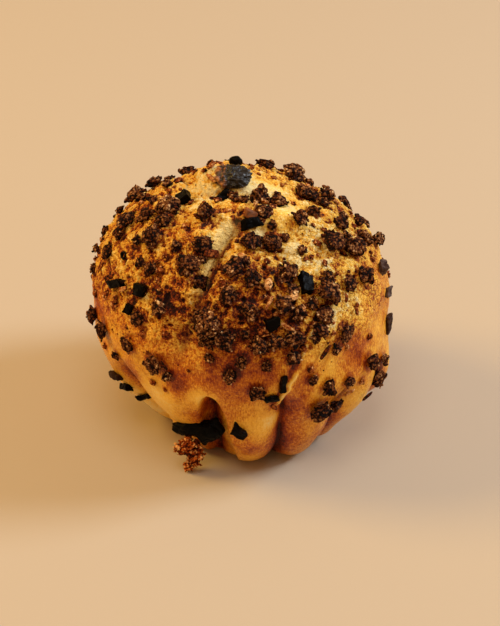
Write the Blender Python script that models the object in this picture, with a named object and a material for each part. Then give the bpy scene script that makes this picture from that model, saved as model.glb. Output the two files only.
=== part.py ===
"""A chocolate chip brioche, baked in a fluted tin: a domed bun on a narrow, lobed base, with a torn seam at the
crown, a hollow between two lobes at the front, and a craggy crust of cocoa crumbs and chocolate chips.

Metres, +Z up. The origin is the middle of the flat spot that the bun rests on, and the front faces -Y.
Places on the bun are given by two angles from the heart of the dough: the turn, from the front towards +X,
and the rise above the heart's own level."""

from math import exp, pi, radians, sin

import bmesh
import bpy
import numpy as np
from mathutils import Matrix, Vector

MM = 0.001
SEED = 32

# The dough's driving sizes.
HALF_WIDTH = 42.6 * MM  # at the widest, just above the tin's rim
HEART_HEIGHT = 40.5 * MM  # height of the widest level, where the angles are taken from
DOME_HEIGHT = 34.6 * MM  # from the heart to the crown
KEEL_DEPTH = 52.0 * MM  # the lower half tapers as if to this depth, and the floor cuts it off
FOOT_ROUNDING = 5.0 * MM
FOOT_RISE = (-66, -55)  # the flutes die out between these, towards the flat foot
RINGS, SECTORS = 30, 66
RING_SHIFT = 0.16  # radians that the rings move down, to where the flutes are
ROLLING = ((0.9 * MM, 3.1), (0.45 * MM, 7.3))  # height of the dough's unevenness and its cells to a radian

# Broad swells and hollows of the dough: turn, rise, spread in degrees, height in millimetres.
SWELLS = (
    (-85, 42, 38, 1.8),  # the left shoulder stands high
    (95, 50, 34, -3.0),  # and the right one falls away
    (68, -27, 15, 4.2),  # the far right lobe's corner
    (-56, -40, 14, -1.8),  # flattened low on the left
    (-88, -4, 24, 0.8),  # and full above that
    (-86, -36, 13, 1.6),  # where the next lobe bulges
    (-68, -55, 10, -2.0),  # before it tucks in
    (80, -28, 9, 1.8),
    (-150, 76, 15, 3.0),  # the small head, baked into the crown
    (16, 58, 9, -3.0),  # the dip under the crown crumbs
    (12, 73, 12, 0.8),
    (30, 20, 22, 1.0),
    (-40, 40, 20, 0.8),
    (-36, -44, 12, -2.8),  # cut back under the left lobe
    (27, -50, 17, 2.8),
    (6, -38, 12, 2.6),  # the middle lobe stands forward
    (-8, -61, 8, 5.0),  # and the foot beside it comes out below the hollow
)

# The tin's flutes: turn of each groove, its depth in millimetres and the rise where it runs out.
GROOVES = (
    (-172, 3.2, -8),
    (-140, 4.0, -12),
    (-110, 3.0, -10),
    (-84, 3.4, -14),
    (-56, 5.5, -8),
    (-14, 5.0, -14),
    (17, 5.2, -8),
    (45, 4.2, -13),
    (66, 2.6, -8),
    (96, 3.8, -12),
    (126, 3.2, -10),
    (156, 4.2, -13),
)
LOBE_ROUNDNESS = 0.62  # smaller is rounder, with a tighter groove
FLUTE_FADE = 16.0  # degrees from the end of a groove to its full depth

# Torn seams: width and depth in millimetres, then their course as (turn, rise).
SEAMS = (
    (3.2, 4.0, ((-4, 62), (-12, 57), (-16, 51), (-18, 43), (-19, 35), (-20, 28))),
    (3.2, 1.4, ((-19, 29), (-20, 21), (-22, 12), (-25, 2))),
    (3.6, 2.6, ((85, 66), (62, 75), (10, 80), (-50, 79), (-80, 71), (-108, 64), (-125, 56))),
    (3.4, 1.2, ((30, 56), (44, 50), (50, 40), (47, 30), (50, 20), (44, 14))),
    (3.4, 1.5, ((-120, 62), (-135, 45), (-128, 25), (-138, 8))),
    (3.4, 1.5, ((150, 60), (138, 42), (146, 22), (135, 5))),
)

# The hollow under its pointed arch, between the left and the middle lobe: in degrees, but for its depth.
HOLLOW_TURN, HOLLOW_TOP = -13.3, -13.2
HOLLOW_HALF_WIDTH = 0.6
HOLLOW_FLARE = 1.25  # wider by this times the square root of the degrees further down
HOLLOW_LEAN = 0.05  # further right by this for each degree further down
HOLLOW_EDGE = 2.0
HOLLOW_DEPTH = 5.2 * MM
HOLLOW_FLOOR = (12.0, 30.0, 0.5)  # from and to so many degrees below its top it loses this share of its depth

# The lumps that show most: turn, rise and width in millimetres, from the crown down each side.
LUMPS = (
    (54, 80, 6.5), (62, 71, 5.5), (25, 68, 5.5), (143, 48, 7.2), (111, 58, 5.5), (112, 45, 6.0), (55, 57, 5.5),
    (84, 41, 5.0), (60, 40, 7.5), (69, 32, 7.5), (88, 27, 5.5), (102, 17, 5.5), (62, 22, 6.0), (53, 23, 5.0),
    (22, 36, 7.0), (37, 25, 8.0), (33, 18, 5.5), (17, 25, 5.5), (22, 21, 5.5), (19, 13, 6.0), (13, 12, 5.0),
    (7, 11, 5.5), (19, 5, 5.0), (42, 8, 5.5), (30, 13, 5.0), (5, -9, 5.0), (34, -13, 5.0), (31, -23, 6.8),
    (40, -25, 5.5), (57, -12, 4.8), (67, -25, 6.0), (5, 52, 6.5), (20, 50, 6.0), (-5, 40, 6.5), (4, 36, 5.5),
    (-6, 29, 5.0), (3, 24, 6.0), (-35, 62, 6.0), (-26, 48, 6.0), (-28, 38, 7.0), (-68, 54, 8.0), (-58, 50, 5.5),
    (-73, 46, 5.0), (-56, 43, 5.5), (-81, 38, 6.0), (-118, 44, 6.0), (-77, 25, 5.0), (-35, 20, 5.0),
    (-14, 18, 8.5), (-13, 12, 5.0), (-6, 13, 6.0), (-4, -1, 5.0), (-34, -2, 6.5), (-47, 1, 4.5), (-65, -2, 6.0),
    (-77, -3, 5.0),
)

# Smaller crumbs between them: turn, rise and width in millimetres.
CRUMBS = (
    (-150, 62, 3.2), (160, 55, 3.6), (-38, 82, 3.5), (2, 75, 3.2), (-15, 76, 3.2), (30, 61, 3.2),
    (-105, 55, 3.6), (-98, 44, 3.6), (-118, 52, 3.2), (-110, 40, 3.6), (-112, 34, 3.4), (-105, 30, 3.4),
    (-100, 22, 3.2), (-94, 16, 3.2), (-76, 33, 3.2), (-53, 40, 3.2), (-62, 38, 3.5), (-86, 12, 3.2),
    (-53, 32, 3.2), (-46, 32, 4.0), (-40, 44, 3.5), (-24, 43, 3.5), (-22, 33, 4.4), (-43, 13, 4.0),
    (-88, 50, 3.4), (-29, -6, 3.4), (-57, -10, 3.2), (-12, 5, 3.4), (0, 5, 3.6), (1, 15, 3.2), (1, 43, 4.0),
    (34, 53, 3.2), (37, 44, 3.2), (23, 30, 4.0), (29, 23, 4.0), (43, 30, 4.0), (12, 33, 3.4), (14, 55, 3.2),
    (80, 54, 4.0), (108, 52, 4.0), (100, 48, 4.0), (76, 36, 4.0), (104, 28, 4.2), (97, 38, 3.2), (9, 3, 3.2),
    (27, 11, 3.2), (37, 3, 3.6), (27, -7, 3.6), (44, -14, 3.8), (70, -18, 3.2),
)

# Chopped chocolate: turn, rise, length, width and thickness in millimetres, spin on the crust, lean out of it.
CHIPS = (
    (-79, 63, 5.0, 4.0, 3.2, 10, 20),
    (-56, 79, 4.5, 3.2, 2.4, 70, 50),
    (-60, 20, 6.5, 2.6, 2.8, 35, 20),
    (-46, 23, 5.0, 4.2, 3.4, 5, 15),
    (-48, 15, 3.6, 2.6, 2.6, 80, 20),
    (10, 69, 4.0, 3.4, 3.0, -30, 35),
    (12, 64.5, 5.6, 2.8, 2.0, 5, 10),
    (30, 30, 6.2, 4.4, 3.0, 75, 12),
    (12, 19, 4.2, 3.6, 3.0, 20, 15),
    (15, -6, 6.4, 1.8, 2.2, 88, 8),
    (11, -13, 4.4, 3.2, 1.8, 15, 25),
    (82, 15, 4.4, 4.2, 2.8, 20, 40),
    (79, 6, 4.0, 2.6, 2.0, 40, 50),
    (79, -8, 6.0, 2.2, 2.2, 85, 45),
    (-68, -27, 5.0, 2.8, 1.8, 10, 50),
    (-67, -33, 4.8, 2.6, 1.8, 25, 40),
    (-61, -39, 5.4, 2.2, 1.6, 35, 40),
    (-1, -28.5, 4.8, 3.4, 2.2, -32, 6),
)

# Other crumbs, laid by a seeded rule round the back, the largest first.
CRUMB_COUNT = 40
BEST_SEEN_RISE = 32.5  # the side that the lumps above were placed from, straight ahead and this far up
TURNED_AWAY = -0.12  # cosine of the angle from there where the rule takes over
CRUMB_WIDTHS = (7.0 * MM, 3.0 * MM)
SHRINK = 0.6  # below 1, the widths fall off fast and then slowly
CRUMB_LOWEST_RISE = -16
CLEARANCE = 1.02  # between two crumbs, as a share of half their widths
FINE_WIDTH = 7.2 * MM  # crumbs above this have more faces
SINK = 0.18  # share of a crumb's or chip's height that lies in the crust
CRAG = 0.18  # how far a crumb's corners are pushed in and out
FLATNESS = (0.62, 0.85)  # a crumb's height over its width
CHIP_SKEW = 0.18

# The big chip baked into the crown, half sunk and leaning to the front.
CROWN_CHIP_TURN, CROWN_CHIP_RISE, CROWN_CHIP_LEAN = -110, 85.5, 16
CROWN_CHIP_SIZE = (10.4 * MM, 8.4 * MM, 4.6 * MM)

# Chocolate that ran out under the hollow, and the burnt scrap that hangs from it, as places from the origin.
MELT_MIDDLE = (-12.8 * MM, -32.7 * MM, 14.5 * MM)
MELT_SIZE = (16.0 * MM, 5.4 * MM, 4.8 * MM)
MELT_TURN, MELT_ROLL = -20.0, -5.0  # degrees about Z and about its own front
MELT_TAPER = 0.24  # share by which its right end is thicker than its middle, and its left end thinner
# Its bulges and its drip: 1 on top or -1 below, place along it from -0.5 to 0.5, spread, share it stands out by.
MELT_BULGES = (
    (1, -0.12, 0.15, 0.55),
    (1, 0.38, 0.15, 1.0),
    (-1, -0.34, 0.16, 0.9),
    (-1, 0.12, 0.07, 0.9),  # the drip
    (-1, 0.36, 0.16, 0.6),
)
FLAKE_MIDDLE = (-17.2 * MM, -33.6 * MM, 6.1 * MM)
FLAKE_HEIGHT, FLAKE_THICKNESS = 10.8 * MM, 3.6 * MM
# Down the scrap: share of its height passed, how far right its middle is and its width, both in millimetres.
FLAKE_COURSE = (
    (0.0, 2.2, 4.2), (0.22, 0.9, 8.0), (0.42, 1.6, 7.0), (0.55, 3.7, 4.8), (0.75, 3.2, 3.6), (1.0, 1.4, 1.6),
)
FLAKE_BLUNTNESS = 6  # higher keeps its ends broader, 2 is round
FLAKE_CRAG = 0.35

SEAT_GAP = 0.5 * MM  # grown onto a piece to cut its seat, which leaves about 0.3 mm between the faces


def unit(turn, rise):
    """The direction with this turn and rise, both in degrees."""
    t, r = np.radians(turn), np.radians(rise)
    return np.stack([np.sin(t) * np.cos(r), -np.cos(t) * np.cos(r), np.sin(r)], -1)


def smooth_step(x):
    x = np.clip(x, 0.0, 1.0)
    return x * x * (3 - 2 * x)


def value_noise(p, seed=0):
    """Smooth noise from -1 to 1, one cell to each unit of p."""
    cell = np.floor(p).astype(np.int64)
    f = p - cell
    f = f * f * (3 - 2 * f)
    total = 0.0
    for corner in range(8):
        step = np.array([corner & 1, corner >> 1 & 1, corner >> 2])
        q = cell + step
        h = np.sin(q @ [127.1, 311.7, 74.7] + seed * 53.3) * 43758.5453
        h = h - np.floor(h)
        weight = np.prod(np.where(step, f, 1 - f), -1)
        total = total + weight * (2 * h - 1)
    return total


def swell(d, turn, rise, spread):
    """1 in one direction, fading out over this many degrees."""
    angle = np.degrees(np.arccos(np.clip(d @ unit(turn, rise), -1, 1)))
    return np.exp(-((angle / spread) ** 2))


def seam_depth(d, width, depth, course):
    """How deep one torn seam is in each direction. It runs out at both ends."""
    nearest = np.full(d.shape[:-1], 9.0)
    taper = np.zeros(d.shape[:-1])
    stops = [unit(*stop) for stop in course]
    for i, (a, b) in enumerate(zip(stops, stops[1:])):
        along = np.clip(((d - a) @ (b - a)) / ((b - a) @ (b - a)), 0, 1)
        off = np.linalg.norm(d - a - along[..., None] * (b - a), axis=-1) * HALF_WIDTH
        from_end = np.minimum(i + along, len(stops) - 1 - i - along)
        taper = np.where(off < nearest, smooth_step(from_end + 0.3), taper)
        nearest = np.minimum(nearest, off)
    return depth * taper * np.exp(-((nearest / width) ** 2))


def above_foot(rise):
    """1 on the sides, 0 under the flat foot."""
    return smooth_step((rise - FOOT_RISE[0]) / (FOOT_RISE[1] - FOOT_RISE[0]))


def flute_depth(turn, rise):
    """How deep the tin's flutes draw the dough in, 0 along the middle of each lobe."""
    depth = np.zeros_like(turn)
    for (t0, d0, r0), (t1, d1, r1) in zip(GROOVES, GROOVES[1:] + ((GROOVES[0][0] + 360, *GROOVES[0][1:]),)):
        at = np.where(turn < GROOVES[0][0], turn + 360, turn)
        s = (at - t0) / (t1 - t0)
        inside = (s >= 0) & (s < 1)
        s = np.clip(s, 0, 1)
        bulge = (4 * s * (1 - s)) ** LOBE_ROUNDNESS
        ends = r0 + (r1 - r0) * smooth_step(s)
        reach = smooth_step((ends - rise) / FLUTE_FADE) * above_foot(rise)
        depth = np.where(inside, (d0 + (d1 - d0) * smooth_step(s)) * (1 - bulge) * reach, depth)
    return depth * MM


def hollow_share(turn, rise):
    """1 where the arched hollow at the front is deepest, 0 outside it."""
    below = np.clip(HOLLOW_TOP - rise, 0, 40)
    off_axis = turn - (HOLLOW_TURN + HOLLOW_LEAN * below)
    across = (HOLLOW_HALF_WIDTH + HOLLOW_FLARE * np.sqrt(below) - np.abs(off_axis)) / HOLLOW_EDGE
    arch = HOLLOW_TOP - rise
    start, end, lost = HOLLOW_FLOOR
    depth = 1 - lost * smooth_step((below - start) / (end - start))
    return depth * smooth_step(across + 0.5) * smooth_step(arch / HOLLOW_EDGE + 0.5) * above_foot(rise)


def dough_radius(d):
    """Distance from the heart to the crust in each direction."""
    level = np.hypot(d[..., 0], d[..., 1])
    turn = np.degrees(np.arctan2(d[..., 0], -d[..., 1]))
    rise = np.degrees(np.arctan2(d[..., 2], level))
    tall = np.where(d[..., 2] > 0, DOME_HEIGHT, KEEL_DEPTH)
    r = 1 / np.sqrt((level / HALF_WIDTH) ** 2 + (d[..., 2] / tall) ** 2)
    for t, s, spread, height in SWELLS:
        r = r + height * MM * swell(d, t, s, spread)
    for seed, (height, cells) in enumerate(ROLLING, 5):
        r = r + height * value_noise(d * cells, seed)
    r = r - flute_depth(turn, rise)
    for width, depth, course in SEAMS:
        r = r - seam_depth(d, width * MM, depth * MM, course)
    return r - HOLLOW_DEPTH * hollow_share(turn, rise)


def crust_point(d):
    """The crust in each direction, rounded off where it meets the floor."""
    r = dough_radius(d)
    floor = np.where(d[..., 2] < -0.05, HEART_HEIGHT / np.maximum(-d[..., 2], 0.05), 1.0)
    near = np.maximum(FOOT_ROUNDING - np.abs(r - floor), 0) / FOOT_ROUNDING
    r = np.minimum(r, floor) - near**2 * FOOT_ROUNDING / 4
    p = d * r[..., None]
    p[..., 2] += HEART_HEIGHT
    p[..., 2] = np.where(p[..., 2] < 1e-6, 0.0, p[..., 2])
    return p


def crust_normal(d):
    """Outward direction of the crust, over a span of about three degrees."""
    side = np.cross(d, [0.0, 0.0, 1.0])
    side /= np.linalg.norm(side)
    up = np.cross(side, d)
    reach = 0.03
    a, b, c, e = (crust_point(v / np.linalg.norm(v)) for v in (
        d + side * reach, d - side * reach, d + up * reach, d - up * reach))
    n = np.cross(a - b, c - e)
    n /= np.linalg.norm(n)
    return n if n @ d > 0 else -n


def new_object(name, bm, material, collection):
    mesh = bpy.data.meshes.new(name)
    bm.to_mesh(mesh)
    bm.free()
    mesh.materials.append(material)
    obj = bpy.data.objects.new(name, mesh)
    collection.objects.link(obj)
    return obj


def food_material(name, colour, roughness):
    material = bpy.data.materials.new(name)
    material.use_nodes = True
    shader = material.node_tree.nodes["Principled BSDF"]
    shader.inputs["Base Color"].default_value = (*colour, 1)
    shader.inputs["Roughness"].default_value = roughness
    shader.inputs["Metallic"].default_value = 0
    return material


def dough(material, collection):
    """The bun itself: a sphere's rings and sectors drawn out to the crust, with more rings at the flutes."""
    bm = bmesh.new()
    bmesh.ops.create_uvsphere(bm, u_segments=SECTORS, v_segments=RINGS, radius=1)
    d = np.array([v.co for v in bm.verts])
    rise = np.arcsin(np.clip(d[:, 2], -1, 1))
    rise -= RING_SHIFT * np.cos(rise) ** 2
    turn = np.arctan2(d[:, 0], -d[:, 1])
    d = unit(np.degrees(turn), np.degrees(rise))
    for vert, p in zip(bm.verts, crust_point(d)):
        vert.co = p
    foot = [v for v in bm.verts if v.co.z == 0]
    bmesh.ops.dissolve_limit(bm, angle_limit=radians(0.05), verts=foot, edges=bm.edges)
    bmesh.ops.triangulate(bm, faces=bm.faces)
    bmesh.ops.recalc_face_normals(bm, faces=bm.faces)
    return new_object("brioche", bm, material, collection)


def seat(turn, rise, sink, spin, lean=0.0):
    """Where a piece sits: its middle a little out of the crust, its Z along the crust's normal."""
    d = unit(turn, rise)
    n = Vector(crust_normal(d))
    place = Vector(crust_point(d)) + n * sink
    turned = n.to_track_quat("Z", "Y").to_matrix().to_4x4()
    return Matrix.Translation(place) @ turned @ Matrix.Rotation(spin, 4, "Z") @ Matrix.Rotation(lean, 4, "X")


def blob(name, place, size, wrinkle, taper, bulges, grow, material, collection):
    """A rounded piece with an uneven skin, thicker towards +X by its taper, with bulges along its top and
    underside, and grown on all sides by this much."""
    bm = bmesh.new()
    bmesh.ops.create_icosphere(bm, subdivisions=3, radius=0.5)
    co = np.array([v.co for v in bm.verts])
    for vert, bulge in zip(bm.verts, value_noise(co * 5.0, 11) + 0.5 * value_noise(co * 11.0, 12)):
        vert.co *= 1 + wrinkle * bulge
        vert.co.yz = vert.co.yz * (1 + 2 * taper * vert.co.x)
        for side, along, spread, amount in bulges:
            if side * vert.co.z > 0:
                vert.co.z *= 1 + amount * exp(-(((vert.co.x - along) / spread) ** 2))
    bmesh.ops.transform(bm, matrix=Matrix.Diagonal((*size, 1)), verts=bm.verts)
    bm.normal_update()
    for vert in bm.verts:
        vert.co += vert.normal * grow
    bmesh.ops.transform(bm, matrix=place, verts=bm.verts)
    return new_object(name, bm, material, collection)


def hanging_flake(material, collection):
    """A craggy burnt scrap that hangs from a broad head and swings aside to a ragged tip."""
    bm = bmesh.new()
    bmesh.ops.create_icosphere(bm, subdivisions=3, radius=0.5)
    ball = np.array([v.co for v in bm.verts])
    bulge = value_noise(ball * 3.6, 14) + 0.5 * value_noise(ball * 8.0, 15)
    passed, middle, width = np.array(FLAKE_COURSE).T
    down = 0.5 - ball[:, 2]
    level = ball[:, :2] / np.maximum(np.linalg.norm(ball[:, :2], axis=1, keepdims=True), 1e-6)
    end = np.sqrt(np.clip(1 - (2 * ball[:, 2]) ** FLAKE_BLUNTNESS, 0, 1))
    half = np.interp(down, passed, width) / 2 * MM * end
    x = np.interp(down, passed, middle) * MM + level[:, 0] * half * (1 + FLAKE_CRAG * bulge)
    y = level[:, 1] * np.minimum(half, FLAKE_THICKNESS / 2) * (1 + FLAKE_CRAG * bulge)
    for vert, place in zip(bm.verts, np.stack([x, y, ball[:, 2] * FLAKE_HEIGHT], -1) + FLAKE_MIDDLE):
        vert.co = place
    return new_object("hanging_flake", bm, material, collection)


def crumb(name, turn, rise, width, rng, material, collection):
    """A craggy crumb: a coarse ball with its corners pushed in and out."""
    bm = bmesh.new()
    bmesh.ops.create_icosphere(bm, subdivisions=2 if width > FINE_WIDTH else 1, radius=0.5)
    for vert in bm.verts:
        vert.co *= rng.uniform(1 - CRAG, 1 + CRAG)
    height = width * rng.uniform(*FLATNESS)
    size = Matrix.Diagonal((width, width * rng.uniform(0.8, 1.1), height, 1))
    place = seat(turn, rise, height * (0.5 - SINK), rng.uniform(0, 2 * pi))
    bmesh.ops.transform(bm, matrix=place @ size, verts=bm.verts)
    return new_object(name, bm, material, collection)


def chip(name, place, size, rng, material, collection):
    """A piece of chopped chocolate: a skewed block with uneven corners."""
    bm = bmesh.new()
    bmesh.ops.create_cube(bm, size=1)
    for vert in bm.verts:
        vert.co *= rng.uniform(0.80, 1.08)
        vert.co.x += CHIP_SKEW * vert.co.z
    bmesh.ops.transform(bm, matrix=place @ Matrix.Diagonal((*size, 1)), verts=bm.verts)
    bmesh.ops.recalc_face_normals(bm, faces=bm.faces)
    return new_object(name, bm, material, collection)


def crumb_chance(turn, rise):
    """How likely the crust is to carry a crumb: thick on the dome, thin on the smooth band above the lobes."""
    dome = smooth_step((rise - CRUMB_LOWEST_RISE) / 34)
    bare = np.exp(-(((turn - 68) / 22) ** 2) - ((rise - 6) / 14) ** 2)
    crown = np.exp(-(((rise - 84) / 9) ** 2))
    return dome * (1 - 0.85 * bare) * (1 - 0.6 * crown)


def crumb_places():
    """Turn, rise and width of each other crumb: drawn at random, kept apart from its neighbours."""
    rng = np.random.default_rng(SEED)
    taken = [(unit(t, r), w * MM / 2) for t, r, w in LUMPS + CRUMBS]
    taken += [(unit(t, r), length * MM / 2) for t, r, length, *_ in CHIPS]
    places = []
    while len(places) < CRUMB_COUNT:
        turn = rng.uniform(-180, 180)
        rise = np.degrees(np.arcsin(rng.uniform(sin(radians(CRUMB_LOWEST_RISE)), 1)))
        chance = rng.uniform()
        share = len(places) / CRUMB_COUNT
        width = CRUMB_WIDTHS[0] + (CRUMB_WIDTHS[1] - CRUMB_WIDTHS[0]) * share**SHRINK
        d = unit(turn, rise)
        away = d @ unit(0, BEST_SEEN_RISE) < TURNED_AWAY
        room = all(
            np.linalg.norm(d - other) * HALF_WIDTH > (half + width / 2) * CLEARANCE for other, half in taken
        )
        if away and room and chance < crumb_chance(turn, rise):
            places.append((turn, rise, width))
            taken.append((d, width / 2))
    return places


def toppings(cocoa, chocolate, collection):
    """Every crumb and chip that is baked onto the crust, each still its own object."""
    rng = np.random.default_rng(SEED + 1)
    for i, (turn, rise, width) in enumerate(LUMPS + CRUMBS):
        crumb(f"lump_{i}", turn, rise, width * MM, rng, cocoa, collection)
    for i, (turn, rise, length, width, thick, spin, lean) in enumerate(CHIPS):
        place = seat(turn, rise, thick * MM * (0.5 - SINK), radians(spin), radians(lean))
        chip(f"chip_{i}", place, (length * MM, width * MM, thick * MM), rng, chocolate, collection)
    for i, (turn, rise, width) in enumerate(crumb_places()):
        crumb(f"crumb_{i}", turn, rise, width, rng, cocoa, collection)


def applied(obj):
    """Replaces an object's mesh by what its modifiers make of it."""
    graph = bpy.context.evaluated_depsgraph_get()
    mesh = bpy.data.meshes.new_from_object(obj.evaluated_get(graph))
    obj.modifiers.clear()
    obj.data = mesh


def largest_shell(obj):
    """Keeps only an object's outer shell, so that no sealed hollow or loose scrap is left from the fusing."""
    bm = bmesh.new()
    bm.from_mesh(obj.data)
    left, shells = set(bm.verts), []
    while left:
        shell, edge_of = set(), [left.pop()]
        while edge_of:
            vert = edge_of.pop()
            shell.add(vert)
            near = {e.other_vert(vert) for e in vert.link_edges} & left
            left -= near
            edge_of += near
        shells.append(shell)
    shells.sort(key=len)
    bmesh.ops.delete(bm, geom=[v for shell in shells[:-1] for v in shell], context="VERTS")
    bm.to_mesh(obj.data)
    bm.free()


def combine(obj, operation, collection):
    """Fuses a collection of objects to this one, or cuts them from it, and removes them."""
    step = obj.modifiers.new(operation.lower(), "BOOLEAN")
    step.operation = operation
    step.operand_type = "COLLECTION"
    step.collection = collection
    step.solver = "MANIFOLD"
    bpy.context.view_layer.update()
    applied(obj)
    for piece in list(collection.objects):
        bpy.data.objects.remove(piece)
    bpy.data.collections.remove(collection)
    largest_shell(obj)


def new_collection(name):
    collection = bpy.data.collections.new(name)
    bpy.context.scene.collection.children.link(collection)
    return collection


def crown_chip(grow, material, collection):
    middle = Vector(crust_point(unit(CROWN_CHIP_TURN, CROWN_CHIP_RISE)))
    middle.z += 0.1 * CROWN_CHIP_SIZE[2]
    place = Matrix.Translation(middle) @ Matrix.Rotation(radians(CROWN_CHIP_LEAN), 4, "X")
    return blob("crown_chip", place, CROWN_CHIP_SIZE, 0.16, 0, (), grow, material, collection)


def melted_chocolate(grow, material, collection):
    place = Matrix.Translation(MELT_MIDDLE) @ Matrix.Rotation(radians(MELT_TURN), 4, "Z")
    place = place @ Matrix.Rotation(radians(MELT_ROLL), 4, "Y")
    return blob("melted_chocolate", place, MELT_SIZE, 0.10, MELT_TAPER, MELT_BULGES, grow, material, collection)


def main():
    for obj in list(bpy.data.objects):
        bpy.data.objects.remove(obj)
    crust = food_material("golden crust", (0.47, 0.21, 0.06), 0.5)
    cocoa = food_material("cocoa crumb", (0.07, 0.03, 0.015), 0.85)
    chocolate = food_material("dark chocolate", (0.015, 0.010, 0.008), 0.35)
    burnt = food_material("burnt flake", (0.11, 0.04, 0.015), 0.8)
    pastry = new_collection("chocolate_chip_brioche")
    bun = dough(crust, pastry)
    baked_on = new_collection("baked_on")
    toppings(cocoa, chocolate, baked_on)
    combine(bun, "UNION", baked_on)
    clearance = new_collection("clearance")
    crown_chip(SEAT_GAP, chocolate, clearance)
    melted_chocolate(SEAT_GAP, chocolate, clearance)
    combine(bun, "DIFFERENCE", clearance)
    crown_chip(0, chocolate, pastry)
    melted_chocolate(0, chocolate, pastry)
    hanging_flake(burnt, pastry)


main()
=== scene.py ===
"""Looks of a chocolate chip brioche: crackled golden crust, cocoa crumbs, chocolate chips and a stage for it.

Metres, +Z up, front to -Y. Places on the bun are a turn (degrees from the front towards +X) and a rise (degrees
above the level of the bun's heart). Sizes in the tables are millimetres."""

from math import cos, pi, radians, sin

import bmesh
import bpy
import numpy as np
from bpy.props import FloatProperty, FloatVectorProperty, IntProperty, PointerProperty
from mathutils import Matrix, Vector


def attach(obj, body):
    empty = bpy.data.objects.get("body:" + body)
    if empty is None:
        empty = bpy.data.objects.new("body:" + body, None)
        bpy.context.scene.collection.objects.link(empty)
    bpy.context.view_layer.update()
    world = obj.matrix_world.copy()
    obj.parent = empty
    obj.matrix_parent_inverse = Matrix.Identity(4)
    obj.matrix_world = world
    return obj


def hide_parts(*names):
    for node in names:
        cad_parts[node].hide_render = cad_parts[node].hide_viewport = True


bl_info = {
    "name": "Chocolate Chip Brioche",
    "version": (1, 0, 0),
    "blender": (4, 5, 0),
    "location": "View3D > Sidebar > Brioche",
    "description": "Builds the crust, crumbs, chocolate and stage of a chocolate chip brioche",
    "category": "Object",
}

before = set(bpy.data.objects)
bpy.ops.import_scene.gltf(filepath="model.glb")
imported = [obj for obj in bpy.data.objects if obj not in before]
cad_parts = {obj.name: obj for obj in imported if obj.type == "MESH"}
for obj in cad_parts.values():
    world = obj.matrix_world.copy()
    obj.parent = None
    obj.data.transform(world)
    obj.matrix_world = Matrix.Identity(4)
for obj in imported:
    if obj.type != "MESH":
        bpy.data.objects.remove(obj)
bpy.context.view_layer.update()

MM = 0.001
SEED = 32

# The dough's sizes, as in the solid. The heart is the point that every turn and rise is seen from.
HALF_WIDTH = 42.6 * MM
HEART_HEIGHT = 40.5 * MM
DOME_HEIGHT = 34.6 * MM
KEEL_DEPTH = 52.0 * MM
FOOT_ROUNDING = 5.0 * MM
FOOT_RISE = (-66, -55)
# Height and number of the waves of the dough's uneven rise.
ROLLING = ((0.9 * MM, 3.1), (0.45 * MM, 7.3))
# Broad swells and dents: turn, rise, spread in degrees, height.
SWELLS = (
    (-85, 42, 38, 1.8), (95, 50, 34, -3.0), (68, -27, 15, 4.2), (-56, -40, 14, -1.8), (-88, -4, 24, 0.8),
    (-86, -36, 13, 1.6), (-68, -55, 10, -2.0), (80, -28, 9, 1.8), (-150, 76, 15, 3.0), (16, 58, 9, -3.0),
    (12, 73, 12, 0.8), (30, 20, 22, 1.0), (-40, 40, 20, 0.8), (-36, -44, 12, -2.8), (27, -50, 17, 2.8),
    (6, -38, 12, 2.6), (-8, -61, 8, 5.0),
)
# Grooves that the tin's flutes left between the lobes: turn, depth, the rise where they run out.
GROOVES = (
    (-172, 3.2, -8), (-140, 4.0, -12), (-110, 3.0, -10), (-84, 3.4, -14), (-56, 5.5, -8), (-14, 5.0, -14),
    (17, 5.2, -8), (45, 4.2, -13), (66, 2.6, -8), (96, 3.8, -12), (126, 3.2, -10), (156, 4.2, -13),
)
LOBE_ROUNDNESS = 0.62
FLUTE_FADE = 16.0  # degrees of rise over which a groove runs out
# Courses of the seams, each by turn and rise, then their widths and depths.
FRONT_SEAM = ((-4, 62), (-12, 57), (-16, 51), (-18, 43), (-19, 35), (-20, 28))
DIMPLE = ((-19, 29), (-20, 21), (-22, 12), (-25, 2))
CROWN_SEAM = ((85, 66), (62, 75), (10, 80), (-50, 79), (-80, 71), (-108, 64), (-125, 56))
RIGHT_SEAM = ((30, 56), (44, 50), (50, 40), (47, 30), (50, 20), (44, 14))
SEAMS = (
    (3.2, 4.0, FRONT_SEAM),
    (3.2, 1.4, DIMPLE),
    (3.6, 2.6, CROWN_SEAM),
    (3.4, 1.2, RIGHT_SEAM),
    (3.4, 1.5, ((-120, 62), (-135, 45), (-128, 25), (-138, 8))),
    (3.4, 1.5, ((150, 60), (138, 42), (146, 22), (135, 5))),
)
# The pointed hollow at the front: its place, outline in degrees, depth, and how its floor flattens lower down.
HOLLOW_TURN, HOLLOW_TOP = -13.3, -13.2
HOLLOW_HALF_WIDTH, HOLLOW_FLARE, HOLLOW_LEAN, HOLLOW_EDGE = 0.6, 1.25, 0.05, 2.0
HOLLOW_DEPTH = 5.2 * MM
HOLLOW_FLOOR = (12.0, 30.0, 0.5)

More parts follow.
